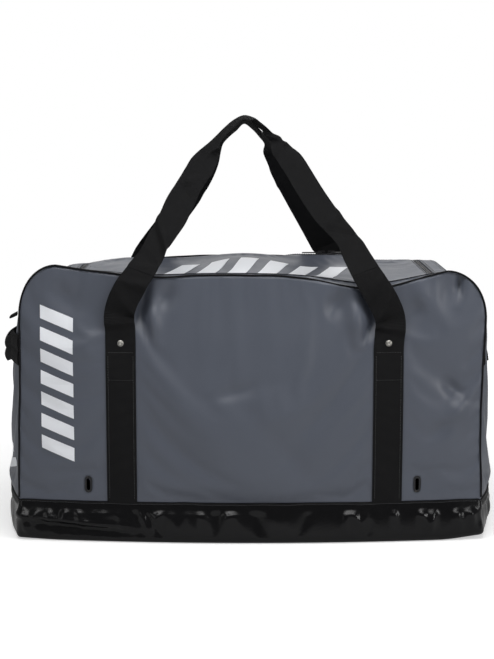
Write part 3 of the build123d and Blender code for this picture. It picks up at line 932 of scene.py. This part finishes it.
def make_tape(name, side, node, **moves):
    """One side of the zipper's woven tape. side is 1 for the bag's and -1 for the lid's."""
    rows = []
    for out in np.linspace(0.0008, TAPE_WIDTH, 5):
        path, _ = zip_line(side * out)
        rows.append(on_top(path[:, 0], path[:, 1], TAPE_LIFT))
    points = np.array(rows)
    faces = grid_faces(len(rows), points.shape[1], flip=side > 0)
    along = np.arange(points.shape[1]) * 0.003
    across = np.linspace(0, TAPE_WIDTH, len(rows))
    flat = np.stack([np.repeat(across, len(along)), np.tile(along, len(rows))], axis=1)
    piece = add_mesh(name, points.reshape(-1, 3), faces, [ZIP_TAPE], flat)
    thicken(piece, 0.0009)
    place(piece, "zipper_tape", nodes=[node], **moves)


def make_teeth(name, side, node, **moves):
    """One side of the zipper's moulded teeth: a waisted block each, with a rounded nose."""
    path, normals = zip_line(0.0, HINGE_Y + 0.004, 0.0015)
    gaps = np.concatenate([[0], np.cumsum(np.linalg.norm(np.diff(path, axis=0), axis=1))])
    pitch = 0.0030
    starts = np.arange(pitch * (0.25 if side > 0 else 0.75), gaps[-1], pitch)
    outline = ((0.0004, -0.0006), (0.0004, 0.0006), (0.0014, 0.0010), (0.0034, 0.0008), (0.0034, -0.0008),
               (0.0014, -0.0010))
    points, faces = [], []
    for start in starts:
        at = np.array([np.interp(start, gaps, c) for c in path.T])
        out = unit(np.array([np.interp(start, gaps, c) for c in normals.T])) * side
        along = np.array([-out[1], out[0]])
        first = len(points)
        for lift, share in ((TAPE_LIFT, 1.0), (TAPE_LIFT + 0.0016, 1.0), (TAPE_LIFT + 0.0021, 0.7)):
            for reach, wide in outline:
                reach = 0.0020 + (reach - 0.0020) * share
                p = at + out * reach + along * wide * share
                points.append(on_top(p[0], p[1], lift))
        faces += [tuple(first + i for i in face) for face in grid_faces(3, 6, wrap=True, flip=side < 0)]
        cap = tuple(first + 12 + i for i in range(6))
        foot = tuple(first + i for i in range(5, -1, -1))
        faces += [cap[::-1], foot[::-1]] if side < 0 else [cap, foot]
    piece = add_mesh(name, points, faces, [TEETH], crisp=True)
    place(piece, "zipper_teeth", nodes=[node], **moves)


def make_lid_welt():
    xs = np.linspace(-ZIP_X, ZIP_X, 160)
    piece = tube("lid_welt_cord", on_top(xs, xs * 0 + HINGE_Y, 0.0002), 0.0011, PIPING)
    place(piece, "piping", "bag", ["lid_welt"])


def zip_stitches(name, out, **moves):
    path, _ = zip_line(out)
    points = on_top(path[:, 0], path[:, 1], 0.0001)
    piece = stitches(name, [(points, np.tile((0.0, 0.0, 1.0), (len(points), 1)))])
    place(piece, "zipper_tape", **moves)


# ---------------------------------------------------------------- corded seams
PIPING_R = 0.0016
PIPING_OUT = 0.0010


def make_piping(name, side, node):
    """The cord round a side panel's seam: up one end, over the top and down the other."""
    xs, drop = panel_columns()
    edge = front_edge(xs) if side < 0 else back_edge(xs)
    top = np.stack([xs, side * seam_y(xs, edge - drop), edge - drop], axis=1)
    foot = HEM + 0.006
    left = np.array([(-HX, side * HY, z) for z in np.arange(foot, top[0, 2] - 0.003, 0.006)])
    right = np.array([(HX, side * HY, z) for z in np.arange(foot, top[-1, 2] - 0.003, 0.006)])[::-1]
    path = np.vstack([left, top, right])
    run = unit(np.gradient(path, axis=0))
    away = np.stack([-run[:, 2], 0 * run[:, 0], run[:, 0]], axis=1)
    wave = 0.0009 * np.sin(np.arange(len(path)) * 0.37) * np.sin(np.arange(len(path)) * 0.11 + side)
    path = path + unit(away) * (PIPING_OUT + wave[:, None] * 0.5)
    path[:, 1] += side * PIPING_OUT
    place(tube(name, path, PIPING_R, PIPING, sides=12), "piping", "bag", [node])


def make_end_seams():
    """The flat topstitched seams where the end panels join the top."""
    lines = []
    for side in (-1, 1):
        for inset in (0.004, 0.009):
            x = side * (SEAM_X - inset)
            y = np.linspace(-HY - 0.004, HY + 0.004, 110)
            points = on_top(np.full_like(y, x), y, 0.0002)
            lines.append((points, np.tile((0.0, 0.0, 1.0), (len(points), 1))))
    place(stitches("end_seam_stitches", lines), "coated_fabric", "bag")


# ---------------------------------------------------------------- base
def plan_loop(inset=0.0, count=600, height=0.03):
    """Points round the bag's plan with outward normals, from the front left corner anticlockwise."""
    t = np.linspace(-1, 1, 300, endpoint=False)
    front = np.stack([t * HX, -(HY + BULGE * (1 - t**2))], axis=1)
    ends = [np.stack([HX + END * end_bulge(height, s) * (1 - t**2), t * HY], axis=1) for s in (1, -1)]
    loop = np.vstack([front, ends[0], -front, -ends[1]])
    gaps = np.linalg.norm(np.roll(loop, -1, 0) - loop, axis=1)
    along = np.concatenate([[0], np.cumsum(gaps)])
    closed = np.vstack([loop, loop[:1]])
    even = np.linspace(0, along[-1], count, endpoint=False)
    loop = np.stack([np.interp(even, along, column) for column in closed.T], axis=1)
    for _ in range(2):
        loop = 0.25 * np.roll(loop, 1, 0) + 0.5 * loop + 0.25 * np.roll(loop, -1, 0)
    run = unit(np.roll(loop, -1, 0) - np.roll(loop, 1, 0))
    normal = np.stack([run[:, 1], -run[:, 0]], axis=1)
    return loop - normal * inset, normal, even


def corner_lift(x, z):
    """The floor's corners turn up off the ground, the right pair more than the left."""
    amount = np.where(x > 0, 0.007, 0.002) * smooth((np.abs(x) - 0.31) / 0.09)
    return amount * (1 - smooth(z / 0.045))


BASE_FOLDS = [
    (0.085, 0.034, 0.070, 0.0034, 95, 0.0044),
    (0.100, 0.024, 0.070, 0.0060, 95, -0.0040),
    (0.010, 0.034, 0.024, 0.0050, -14, 0.0050),
    (0.026, 0.040, 0.016, 0.0060, 24, 0.0046),
    (0.052, 0.044, 0.014, 0.0080, -20, 0.0044),
    (0.076, 0.046, 0.010, 0.0070, 10, 0.0036),
    (0.100, 0.044, 0.014, 0.0060, -24, 0.0040),
    (0.140, 0.044, 0.016, 0.0100, 10, 0.0030),
    (0.205, 0.046, 0.012, 0.0044, -8, 0.0044),
    (0.218, 0.036, 0.018, 0.0040, -36, -0.0040),
    (0.230, 0.044, 0.014, 0.0040, 34, 0.0044),
    (0.300, 0.044, 0.016, 0.0080, -10, 0.0026),
    (0.345, 0.046, 0.012, 0.0060, 8, 0.0034),
    (0.430, 0.042, 0.016, 0.0100, -14, 0.0026),
    (0.538, 0.040, 0.018, 0.0050, 8, 0.0046),
    (0.552, 0.046, 0.014, 0.0050, -28, 0.0044),
    (0.572, 0.044, 0.012, 0.0060, 12, 0.0036),
    (0.618, 0.050, 0.012, 0.0044, -6, 0.0034),
    (0.664, 0.046, 0.014, 0.0050, -12, 0.0044),
    (0.682, 0.036, 0.016, 0.0050, 10, 0.0040),
    (0.722, 0.044, 0.014, 0.0060, 14, 0.0040),
    (0.748, 0.042, 0.018, 0.0050, -8, 0.0046),
]


BASE_COLUMNS = 900
BASE_STRENGTH = 1.3


def base_folds(length):
    """The designed folds along the front, and seeded puckers all round under the stitching."""
    dice = np.random.default_rng(11)
    folds = list(BASE_FOLDS)
    for _ in range(110):
        where = dice.uniform(0, length)
        small = dice.uniform(0.25, 1.0)
        folds.append((where, dice.uniform(0.030, 0.052), 0.010 + 0.018 * small, 0.0024 + 0.0060 * small,
                      dice.uniform(-30, 30), small * 0.0030 * dice.choice((-1, 1, 1))))
    return folds


def make_base():
    """The PVC tub: a puckered upstand, a rounded bottom edge, and the floor."""
    _, _, along = plan_loop(count=BASE_COLUMNS)
    length = along[-1] + along[1]
    folds = base_folds(length)
    round_r = 0.008
    heights = np.linspace(HEM + 0.003, round_r, 18)
    profile = [(-0.0105 * math.sin(math.pi / 2 * ((HEM + 0.003 - h) / HEM) ** 0.8), h) for h in heights]
    foot = profile[-1][0]
    for a in np.radians((18, 36, 54, 72, 90)):
        profile.append((foot + round_r * (1 - math.cos(a)), round_r * (1 - math.sin(a))))
    rows = []
    for inset, z in profile:
        loop, normal, _ = plan_loop(count=BASE_COLUMNS, height=z)
        loop = loop - normal * (inset if inset > 0 else inset * (0.3 + 0.7 * np.abs(normal[:, 1:])))
        level = np.full(len(loop), z)
        push = BASE_STRENGTH * fold_field(along, level, folds)
        push = push * smooth((HEM - 0.008 - level) / 0.010) * smooth(level / 0.02)
        xy = loop + normal * push[:, None]
        rows.append(np.column_stack([xy, level + corner_lift(xy[:, 0], level)]))
    edge = rows[-1]
    for share in (0.96, 0.88, 0.75, 0.6, 0.45, 0.3, 0.15, 0.05):
        xy = edge[:, :2] * share
        rows.append(np.column_stack([xy, corner_lift(xy[:, 0], 0 * xy[:, 0])]))
    points = np.vstack(rows)
    count = len(edge)
    faces = grid_faces(len(rows), count, wrap=True, flip=True)
    faces.append(tuple((len(rows) - 1) * count + i for i in reversed(range(count))))
    flat = np.column_stack([np.tile(along, len(rows)), points[:, 2] + np.abs(points[:, 1])])
    piece = add_mesh("base_tub_skin", points, faces, [VINYL, LINING], flat)
    thicken(piece, SKIN, inner_material=True)
    place(piece, "base_pvc", "bag", ["base_tub"])


HEM_PROFILE = ((0.0002, -0.0125), (0.0015, -0.0120), (0.0021, -0.0070), (0.0018, -0.0020), (0.0020, 0.0010),
               (0.0014, 0.0022), (0.0002, 0.0024))


def hem_wave(along):
    return 0.0008 * np.sin(along * 41) * np.sin(along * 13 + 1) + 0.0004 * np.sin(along * 97)


def hem_row(out, lift):
    loop, normal, along = plan_loop(-out, height=HEM)
    return np.column_stack([loop, HEM + lift + hem_wave(along)]), normal, along


RIVET_PROFILE = ((0.0000, 0.0012), (0.0009, 0.0013), (0.0013, 0.0019), (0.0020, 0.0021), (0.0030, 0.0018),
                 (0.0038, 0.0010), (0.0041, 0.0000), (0.0049, 0.0001), (0.0052, -0.0004), (0.0052, -0.0012))


def make_rivets():
    """The domed caps, each with a dimple from its setting tool and a thin flange."""
    low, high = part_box("strap_rivets")
    dome = max(height for _, height in RIVET_PROFILE)
    angle = np.linspace(0, 2 * math.pi, 28, endpoint=False)
    points, faces = [], []
    for side in (-1, 1):
        face = (-low.y if side < 0 else high.y) - dome
        for at_x in STRAP_XS if side < 0 else tuple(-s for s in STRAP_XS):
            first = len(points)
            for radius, height in RIVET_PROFILE:
                for a in angle:
                    x, z = at_x + radius * math.cos(a), RIVET_Z + radius * math.sin(a)
                    points.append((x, side * (face + height), z))
            turned = side > 0
            rings = grid_faces(len(RIVET_PROFILE), len(angle), wrap=True, flip=turned)
            faces += [tuple(first + i for i in face_of) for face_of in rings]
            last = first + (len(RIVET_PROFILE) - 1) * len(angle)
            back = tuple(last + i for i in range(len(angle)))
            faces.append(back if turned else back[::-1])
    piece = add_mesh("rivet_caps", points, faces, [NICKEL])
    weld(piece)
    place(piece, "rivet_metal", "bag", ["strap_rivets"])


def weld(piece, distance=0.00001):
    """Joins points that share a place."""
    mesh = bmesh.new()
    mesh.from_mesh(piece.data)
    bmesh.ops.remove_doubles(mesh, verts=mesh.verts, dist=distance)
    bmesh.ops.recalc_face_normals(mesh, faces=mesh.faces)
    mesh.to_mesh(piece.data)
    mesh.free()


def make_hem():
    """The folded band along the top of the base, with its two rows of stitches."""
    rows = [hem_row(out, lift)[0] for out, lift in HEM_PROFILE]
    along = hem_row(0, 0)[2]
    count = len(along)
    faces = grid_faces(len(rows), count, wrap=True)
    last = (len(rows) - 1) * count
    faces += [(last + c, last + (c + 1) % count, (c + 1) % count, c) for c in range(count)]
    flat = np.column_stack([np.tile(along, len(rows)), np.repeat(np.arange(len(rows)) * 0.002, count)])
    band = add_mesh("base_hem_band", np.vstack(rows), faces, [HEM_TAPE], flat)
    place(band, "hem_tape", "bag", ["base_hem"])
    lines = []
    for lift in (-0.0095, -0.0005):
        path, normal, _ = hem_row(0.0020, lift)
        lines.append((path, np.column_stack([normal, 0 * normal[:, 0]])))
    place(stitches("base_hem_stitches", lines), "hem_tape", "bag")


def make_board():
    """The stiffener on the bag's floor, turned up a little with its corners."""
    low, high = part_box("base_board")
    loop, _, _ = plan_loop(0.013, 420, 0.0)
    flat, faces = fill(loop, step=0.016)
    z = np.full(len(flat), high.z)
    points = np.column_stack([flat, z + corner_lift(flat[:, 0], 0 * z)])
    piece = add_mesh("floor_board", points, faces, [BOARD], flat)
    thicken(piece, high.z - low.z)
    place(piece, "board", "bag", ["base_board"])


# ---------------------------------------------------------------- webbing
def webbing(name, sections, creases=()):
    """A ribbon through sections of points. Each crease is (distance along, lean, height, width)."""
    sections = np.asarray(sections, float)
    count, across = sections.shape[:2]
    middle_line = sections[:, across // 2]
    along = np.concatenate([[0], np.cumsum(np.linalg.norm(np.diff(middle_line, axis=0), axis=1))])
    u = np.linspace(-1, 1, across)
    run = np.gradient(sections, axis=0)
    over = np.gradient(sections, axis=1)
    normal = unit(np.cross(run, over))
    shift = np.zeros((count, across))
    for start, lean, height, width in creases:
        away = np.hypot(along[:, None] - start - lean * u[None], 0.0006)
        shift += height * np.maximum(0, 1 - away / (2.2 * width))
    shift *= smooth(np.minimum(along, along[-1] - along) / 0.014)[:, None]
    sections = sections + normal * shift[..., None]
    faces = grid_faces(count, across)
    flat = np.stack([np.tile(u * WEB_HALF, count), np.repeat(along, across)], axis=1)
    piece = add_mesh(name, sections.reshape(-1, 3), faces, [WEBBING], flat)
    shell = piece.modifiers.new("thickness", "SOLIDIFY")
    shell.thickness = WEB_THICK
    shell.offset = 0
    edge = piece.modifiers.new("edge", "BEVEL")
    edge.width = 0.0005
    edge.segments = 2
    edge.limit_method = "ANGLE"
    return apply_modifiers(piece)


def loop_point(x, s, side):
    """A point on a handle's plane: x along the bag, and s up the plane from the bend."""
    return np.stack([x, side * (BEND_Y - RISE_Y * s), BEND_Z + RISE_Z * s], axis=-1)


def loop_sections(rows, side):
    """Sections of a handle's loop. Each row has its outer edge and its inner edge, as x and height up the
    plane in millimetres, and the directions in degrees that its outer and inner halves point in: 0 outwards,
    180 inwards, and 270 or -90 straight back. A half that points back is folded behind the other."""
    path = curve_through(np.asarray(rows, float) * (0.001, 0.001, 0.001, 0.001, 1, 1), across=4)
    u = np.linspace(-1, 1, 17)
    sections = []
    for out_x, out_s, in_x, in_s, outer_turn, inner_turn in path:
        turn = np.radians(np.where(u < 0, inner_turn, outer_turn))
        wide = np.abs(u) * np.cos(turn)
        back = -np.abs(u) * np.sin(turn)
        share = (wide - wide.min()) / (wide.max() - wide.min())
        depth = (back - (back.min() + back.max()) / 2) * WEB_HALF
        section = loop_point(in_x + (out_x - in_x) * share, in_s + (out_s - in_s) * share, side)
        section[:, 1] += depth
        sections.append(section)
    return np.array(sections)


FRONT_LOOP = [
    (-200, 10, -156, -10, 0, 180), (-188, 31, -147, 12, 0, 180), (-176, 53, -137, 40, 0, 180),
    (-165, 84, -122, 70, 0, 180), (-152, 115, -108, 97, 0, 180), (-139, 154, -97, 128, 0, 180),
    (-122, 190, -84, 166, 0, 180), (-110, 217, -67, 197, 0, 182), (-101, 237, -58, 223, -6, 190),
    (-90, 252, -54, 240, -12, 206), (-80, 263, -52, 255, -18, 245), (-69, 275, -53, 270, -26, 296),
    (-58, 289, -45, 285, -36, 312), (-46, 305, -36, 298, -46, 306), (-30, 323, -23, 313, -58, 294),
    (-12, 334, -12, 325, -74, 280), (6, 328, 1, 319, -88, 266), (17, 318, 10, 310, -98, 256),
    (27, 307, 20, 300, -106, 246), (37, 294, 28, 287, -112, 236), (47, 282, 33, 273, -108, 214),
    (58, 272, 34, 261, -88, 190), (70, 261, 37, 248, -55, 180), (82, 249, 43, 237, -32, 180),
    (90, 236, 50, 220, -14, 180), (99, 217, 58, 204, 0, 180), (119, 173, 77, 161, 0, 180),
    (136, 139, 95, 124, 0, 180), (150, 114, 109, 99, 0, 180), (166, 88, 126, 76, 0, 180),
    (180, 66, 141, 53, 0, 180), (193, 38, 150, 24, 0, 180), (206, 10, 162, -10, 0, 180),
]
REAR_LOOP = [
    (-212, 8, -168, -8, 0, 180), (-193, 42, -151, 18, 0, 180), (-163, 94, -121, 70, 0, 180),
    (-135, 147, -93, 123, 0, 180), (-112, 197, -70, 177, 0, 180), (-94, 233, -58, 216, -10, 180),
    (-74, 260, -53, 247, -60, 184), (-61, 276, -49, 267, -110, 205), (-47, 293, -38, 284, -112, 236),
    (-33, 309, -25, 299, -110, 238), (-11, 324, -12, 315, -106, 242), (8, 311, 2, 303, -100, 248),
    (21, 293, 14, 286, -84, 262), (34, 276, 24, 268, -56, 288), (43, 265, 24, 256, -24, 268),
    (52, 255, 23, 245, -6, 226), (61, 245, 26, 232, 0, 196), (71, 231, 32, 213, 0, 184),
    (82, 209, 39, 187, 0, 180), (111, 136, 67, 116, 0, 180), (137, 71, 94, 50, 0, 180),
    (162, 12, 118, -10, 0, 180),
]
FRONT_CREASES = (
    (0.082, 0.030, 0.0050, 0.0045), (0.064, 0.030, -0.0034, 0.006), (0.010, -0.008, 0.0040, 0.005),
    (0.026, 0.010, -0.0030, 0.006), (0.205, -0.014, 0.0034, 0.007), (0.180, 0.012, -0.0030, 0.008),
    (0.445, 0.018, 0.0046, 0.006), (0.470, -0.012, -0.0030, 0.008), (0.640, -0.012, 0.0036, 0.006),
    (0.668, 0.016, -0.0034, 0.007),
)
REAR_CREASES = (
    (0.100, 0.012, 0.0030, 0.006), (0.160, -0.014, -0.0030, 0.008), (0.560, -0.012, 0.0034, 0.006),
)


def make_loop(prefix, sections, side, creases):
    """The upper part of a handle. It bends over the top edge a little above its join with the legs."""
    start = loop_point(0.0, 0.011, side)
    end = loop_point(0.0, 0.034, side)
    piece = webbing(f"{prefix}_loop_webbing", sections, creases)
    moves = (f"{prefix}_riser", f"{prefix}_loop", start, end)
    place(piece, "webbing", nodes=[f"{prefix}_handle_loop"], blend=moves)


def leg_sections(strap_x, free_rows, loop_end, side):
    """One leg of a handle, from the hem, sewn up the panel, to its bend over the top edge. Sections run from
    the bag's left to its right, or as loop_end does."""
    heights = np.arange(HEM + 0.001, RIVET_Z + 0.012, 0.02)
    sewn = [(strap_x, side * side_out(strap_x, z, side), z) for z in heights]
    path = curve_through([*sewn, *[(x, side * y, z) for x, y, z in free_rows]], 0.005)
    run = unit(np.gradient(path, axis=0))
    across = unit(np.cross(run, (0.0, 1.0, 0.0)))
    across = across * np.sign(across[:, :1])
    target = unit(loop_end[-1] - loop_end[0])
    flip = target[0] < 0
    target = -target if flip else target
    share = smooth((path[:, 2] - (BEND_Z - 0.045)) / 0.045)[:, None]
    across = unit(across * (1 - share) + target * share)
    u = np.linspace(-1, 1, 17)
    sections = path[:, None] + across[:, None] * u[None, :, None] * WEB_HALF
    x, y, z = (sections[..., i] for i in range(3))
    cloth = side_out(x, z, side) + WEB_LIFT
    free = smooth((z - RIVET_Z - 0.008) / 0.030)
    over = z > back_edge(x) if side > 0 else z > front_edge(x)
    out = cloth * (1 - free) + side * y * free
    sections[..., 1] = side * np.where(over, side * y, np.maximum(out, cloth))
    sections[-1] = loop_end[::-1] if flip else loop_end
    sections[-2] = (sections[-3] + sections[-1]) / 2
    return sections


FRONT_FREE = {
    "left": [
        (-0.2125, 0.2262, 0.356), (-0.2135, 0.2292, 0.378), (-0.2060, 0.2345, 0.403),
        (-0.1920, 0.2385, 0.428), (-0.1780, 0.2360, 0.449),
    ],
    "right": [
        (0.2265, 0.2252, 0.356), (0.2250, 0.2290, 0.374), (0.2160, 0.2340, 0.396),
        (0.2010, 0.2380, 0.422), (0.1840, 0.2360, 0.449),
    ],
}
REAR_FREE = {
    "left": [
        (-0.2235, 0.2262, 0.358), (-0.2190, 0.2310, 0.385), (-0.2050, 0.2370, 0.418),
        (-0.1900, 0.2360, 0.449),
    ],
    "right": [
        (0.2080, 0.2280, 0.358), (0.1990, 0.2330, 0.385), (0.1720, 0.2385, 0.418),
        (0.1400, 0.2360, 0.449),
    ],
}
LEG_CREASES = {
    ("front", "left"): (
        (0.300, 0.002, 0.0040, 0.005), (0.314, 0.004, -0.0030, 0.005), (0.340, 0.014, 0.0036, 0.007),
        (0.372, -0.006, 0.0044, 0.005),
    ),
    ("front", "right"): (
        (0.292, 0.004, 0.0060, 0.005), (0.306, 0.002, -0.0030, 0.005), (0.328, -0.020, 0.0046, 0.007),
        (0.352, -0.014, -0.0030, 0.007),
    ),
    ("rear", "left"): (
        (0.300, 0.004, 0.0034, 0.006), (0.330, -0.010, 0.0030, 0.007),
    ),
    ("rear", "right"): (
        (0.308, -0.004, 0.0034, 0.006), (0.340, 0.010, -0.0030, 0.007),
    ),
}


def make_leg(prefix, name, strap_x, free_rows, loop_end, side):
    sections = leg_sections(strap_x, free_rows, loop_end, side)
    if side < 0:
        sections = sections[:, ::-1]
    piece = webbing(f"{prefix}_leg_{name}", sections, LEG_CREASES[prefix, name])
    pivot = JOINTS[f"{prefix}_handle_lean"]["pos_m"]
    start = (0, pivot[1], pivot[2] + 0.004)
    end = (0, pivot[1], pivot[2] + 0.034)
    nodes = [f"{prefix}_strap_{name}", f"{prefix}_handle_riser"]
    place(piece, "webbing", nodes=nodes, blend=("bag", f"{prefix}_riser", start, end))


def make_handles():
    for prefix, side, rows, creases, free in (("front", -1, FRONT_LOOP, FRONT_CREASES, FRONT_FREE),
                                              ("rear", 1, REAR_LOOP, REAR_CREASES, REAR_FREE)):
        sections = loop_sections(rows, side)
        make_loop(prefix, sections, side, creases)
        straps = {"left": middle(f"{prefix}_strap_left").x, "right": middle(f"{prefix}_strap_right").x}
        make_leg(prefix, "left", straps["left"], free["left"], sections[0], side)
        make_leg(prefix, "right", straps["right"], free["right"], sections[-1], side)


STITCH_X = 0.0205  # the rows of stitches from the strap's middle


def strap_stitches():
    """Two rows of stitches up each sewn strap, joined by two across it under its rivet."""
    lines = []
    for side in (-1, 1):
        for at_x in STRAP_XS if side < 0 else tuple(-s for s in STRAP_XS):
            for dx in (-STITCH_X, STITCH_X):
                z = np.arange(HEM + 0.008, RIVET_Z - 0.014, 0.006)
                lines.append(on_strap(np.full_like(z, at_x + dx), z, side))
            for drop in (0.015, 0.060):
                x = at_x + np.linspace(-STITCH_X, STITCH_X, 12)
                lines.append(on_strap(x, np.full_like(x, RIVET_Z - drop), side))
    place(stitches("strap_stitches", lines), "webbing", "bag")


def on_strap(x, z, side):
    y = side * (side_out(x, z, side) + WEB_LIFT + WEB_THICK / 2)
    return np.column_stack([x, y, z]), np.tile((0.0, float(side), 0.0), (len(x), 1))


def make_grab(name, side, node):
    """An end handle: webbing from seam to seam, sewn at both ends and rolled into two soft lobes between."""
    low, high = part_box(node)
    half = (high.z - low.z) / 2
    sewn_y, free_y = 0.199, 0.110
    y = np.linspace(-sewn_y, sewn_y, 100)
    t = y / HY
    free = smooth((free_y + 0.030 - np.abs(y)) / 0.050)
    u = np.linspace(-1, 1, 17)
    mid_z = (low.z + high.z) / 2 + 0.010 - 0.014 * free
    z = mid_z[:, None] + u[None] * half * (1 - 0.22 * free[:, None])
    wall = HX + END * end_bulge(z, side) * (1 - t[:, None] ** 2)
    proud = 1.0 if side < 0 else 0.15
    lobes = 0.0040 * proud * np.abs(np.sin(math.pi * u))[None] * (0.35 + 0.65 * free[:, None])
    out = 0.0018 + free[:, None] * 0.0042 * proud + lobes
    sections = np.stack([side * (wall + out), np.repeat(y[:, None], len(u), 1), z], axis=-1)
    if side < 0:
        sections = sections[:, ::-1]
    piece = webbing(name, sections)
    place(piece, "webbing", "bag", [node])


def make_side_tab():
    """A short doubled tab of narrow webbing that sticks out of the left end."""
    low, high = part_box("side_tab")
    y = np.linspace(low.y, high.y, 9)
    t = y / HY
    root = -(HX + END * end_bulge(high.z, -1) * (1 - t**2)) + 0.001
    sections = []
    for share in np.linspace(0, 1, 15):
        turn = share * 2 - 1
        reach = 0.0125 * (1 - turn**2) ** 0.35
        z = high.z - 0.005 - 0.0014 * turn - reach * 0.5
        sections.append(np.stack([root - reach, y, np.full_like(y, z)], axis=-1))
    place(webbing("side_tab_loop", sections), "webbing", "bag", ["side_tab"])


# ---------------------------------------------------------------- printed bars
PRINT_THICK = 0.0006
PRINT_LIFT = 0.0007


def cast(piece, points, direction):
    """Drops points onto a piece along a direction, and lifts them a hair off it."""
    mesh = piece.data
    tree = BVHTree.FromPolygons([v.co for v in mesh.vertices], [p.vertices for p in mesh.polygons])
    landed = []
    for point in points:
        hit, _, _, _ = tree.ray_cast(Vector(point), Vector(direction))
        landed.append(hit - Vector(direction) * PRINT_LIFT if hit else Vector(point))
    return landed


def slanted_bars(first, last, count, share, slant):
    """Outlines of a row of slanted bars between two corners, along the longer side."""
    (u0, v0), (u1, v1) = first, last
    pitch = (v1 - v0) / count
    bars = []
    for i in range(count):
        low = v0 + i * pitch
        high = low + pitch * share
        bars.append(np.array([(u0, low), (u1, low + slant), (u1, high + slant), (u0, high)]))
    return bars


def print_bars(name, piece, bars, to_space, direction, body):
    """Bars of ink on a piece. to_space takes a bar's two numbers to a point in front of it."""
    points, faces = [], []
    for bar in bars:
        flat, triangles = fill(resample(bar), step=STEP)
        first = len(points)
        points += cast(piece, [to_space(u, v) for u, v in flat], direction)
        faces += [tuple(first + i for i in face) for face in triangles]
    mesh = bpy.data.meshes.new(name)
    mesh.from_pydata([tuple(p) for p in points], [], faces)
    mesh.materials.append(INK)
    print_piece = bpy.data.objects.new(name, mesh)
    bpy.context.scene.collection.objects.link(print_piece)
    if mesh.polygons[0].normal @ Vector(direction) > 0:
        mesh.flip_normals()
    thicken(print_piece, PRINT_THICK, offset=0)
    place(print_piece, "coated_fabric", body)


# ---------------------------------------------------------------- assembly
def paint_cad(nodes, material):
    for node in nodes:
        slots = frame["nodes"][node].data.materials
        slots.clear()
        slots.append(material)


def build():
    make_camera()
    make_studio()
    front = make_side_panel("front_panel_skin", -1, "front_panel")
    make_side_panel("back_panel_skin", 1, "back_panel")
    left = make_end_panel("left_end_skin", -1, "left_end_panel")
    make_end_panel("right_end_skin", 1, "right_end_panel")
    make_top_frame()
    lid = make_lid()
    make_tape("zip_tape_on_bag", 1, "zip_tape_body", body="bag")
    make_tape("zip_tape_on_lid", -1, "zip_tape_lid", blend=LID_BLEND)
    make_teeth("zip_teeth_on_bag", 1, "zip_teeth_body", body="bag")
    make_teeth("zip_teeth_on_lid", -1, "zip_teeth_lid", blend=LID_BLEND)
    zip_stitches("zip_stitches_on_bag", ZIP_GAP + 0.003, body="bag")
    zip_stitches("zip_stitches_on_lid", -ZIP_GAP - 0.003, blend=LID_BLEND)
    make_lid_welt()
    make_piping("front_piping_cord", -1, "front_piping")
    make_piping("back_piping_cord", 1, "back_piping")
    make_end_seams()
    make_base()
    make_hem()
    make_board()
    make_rivets()
    make_handles()
    strap_stitches()
    make_grab("left_grab_webbing", -1, "left_grab_handle")
    make_grab("right_grab_webbing", 1, "right_grab_handle")
    make_side_tab()
    column = slanted_bars((-0.344, 0.156), (-0.290, 0.406), 7, 0.62, -0.022)
    print_bars("front_print", front, column, lambda u, v: (u, -0.5, v), (0, 1, 0), "bag")
    row = [bar[:, ::-1] for bar in slanted_bars((-0.132, -0.158), (0.045, 0.158), 6, 0.60, 0.036)]
    print_bars("lid_print", lid, row, lambda u, v: (u, v, 0.6), (0, 0, -1), "lid")
    small = slanted_bars((-0.150, 0.110), (-0.095, 0.160), 2, 0.6, -0.014)
    print_bars("end_print", left, small, lambda u, v: (-0.7, u, v), (1, 0, 0), "bag")
    paint_cad(["slider_left", "slider_right", "pull_left", "pull_right"], ENAMEL)
    paint_cad(["rivet_washers"], NICKEL)
    paint_cad(["vent_eyelets", "vent_rings"], EYELET)


build()
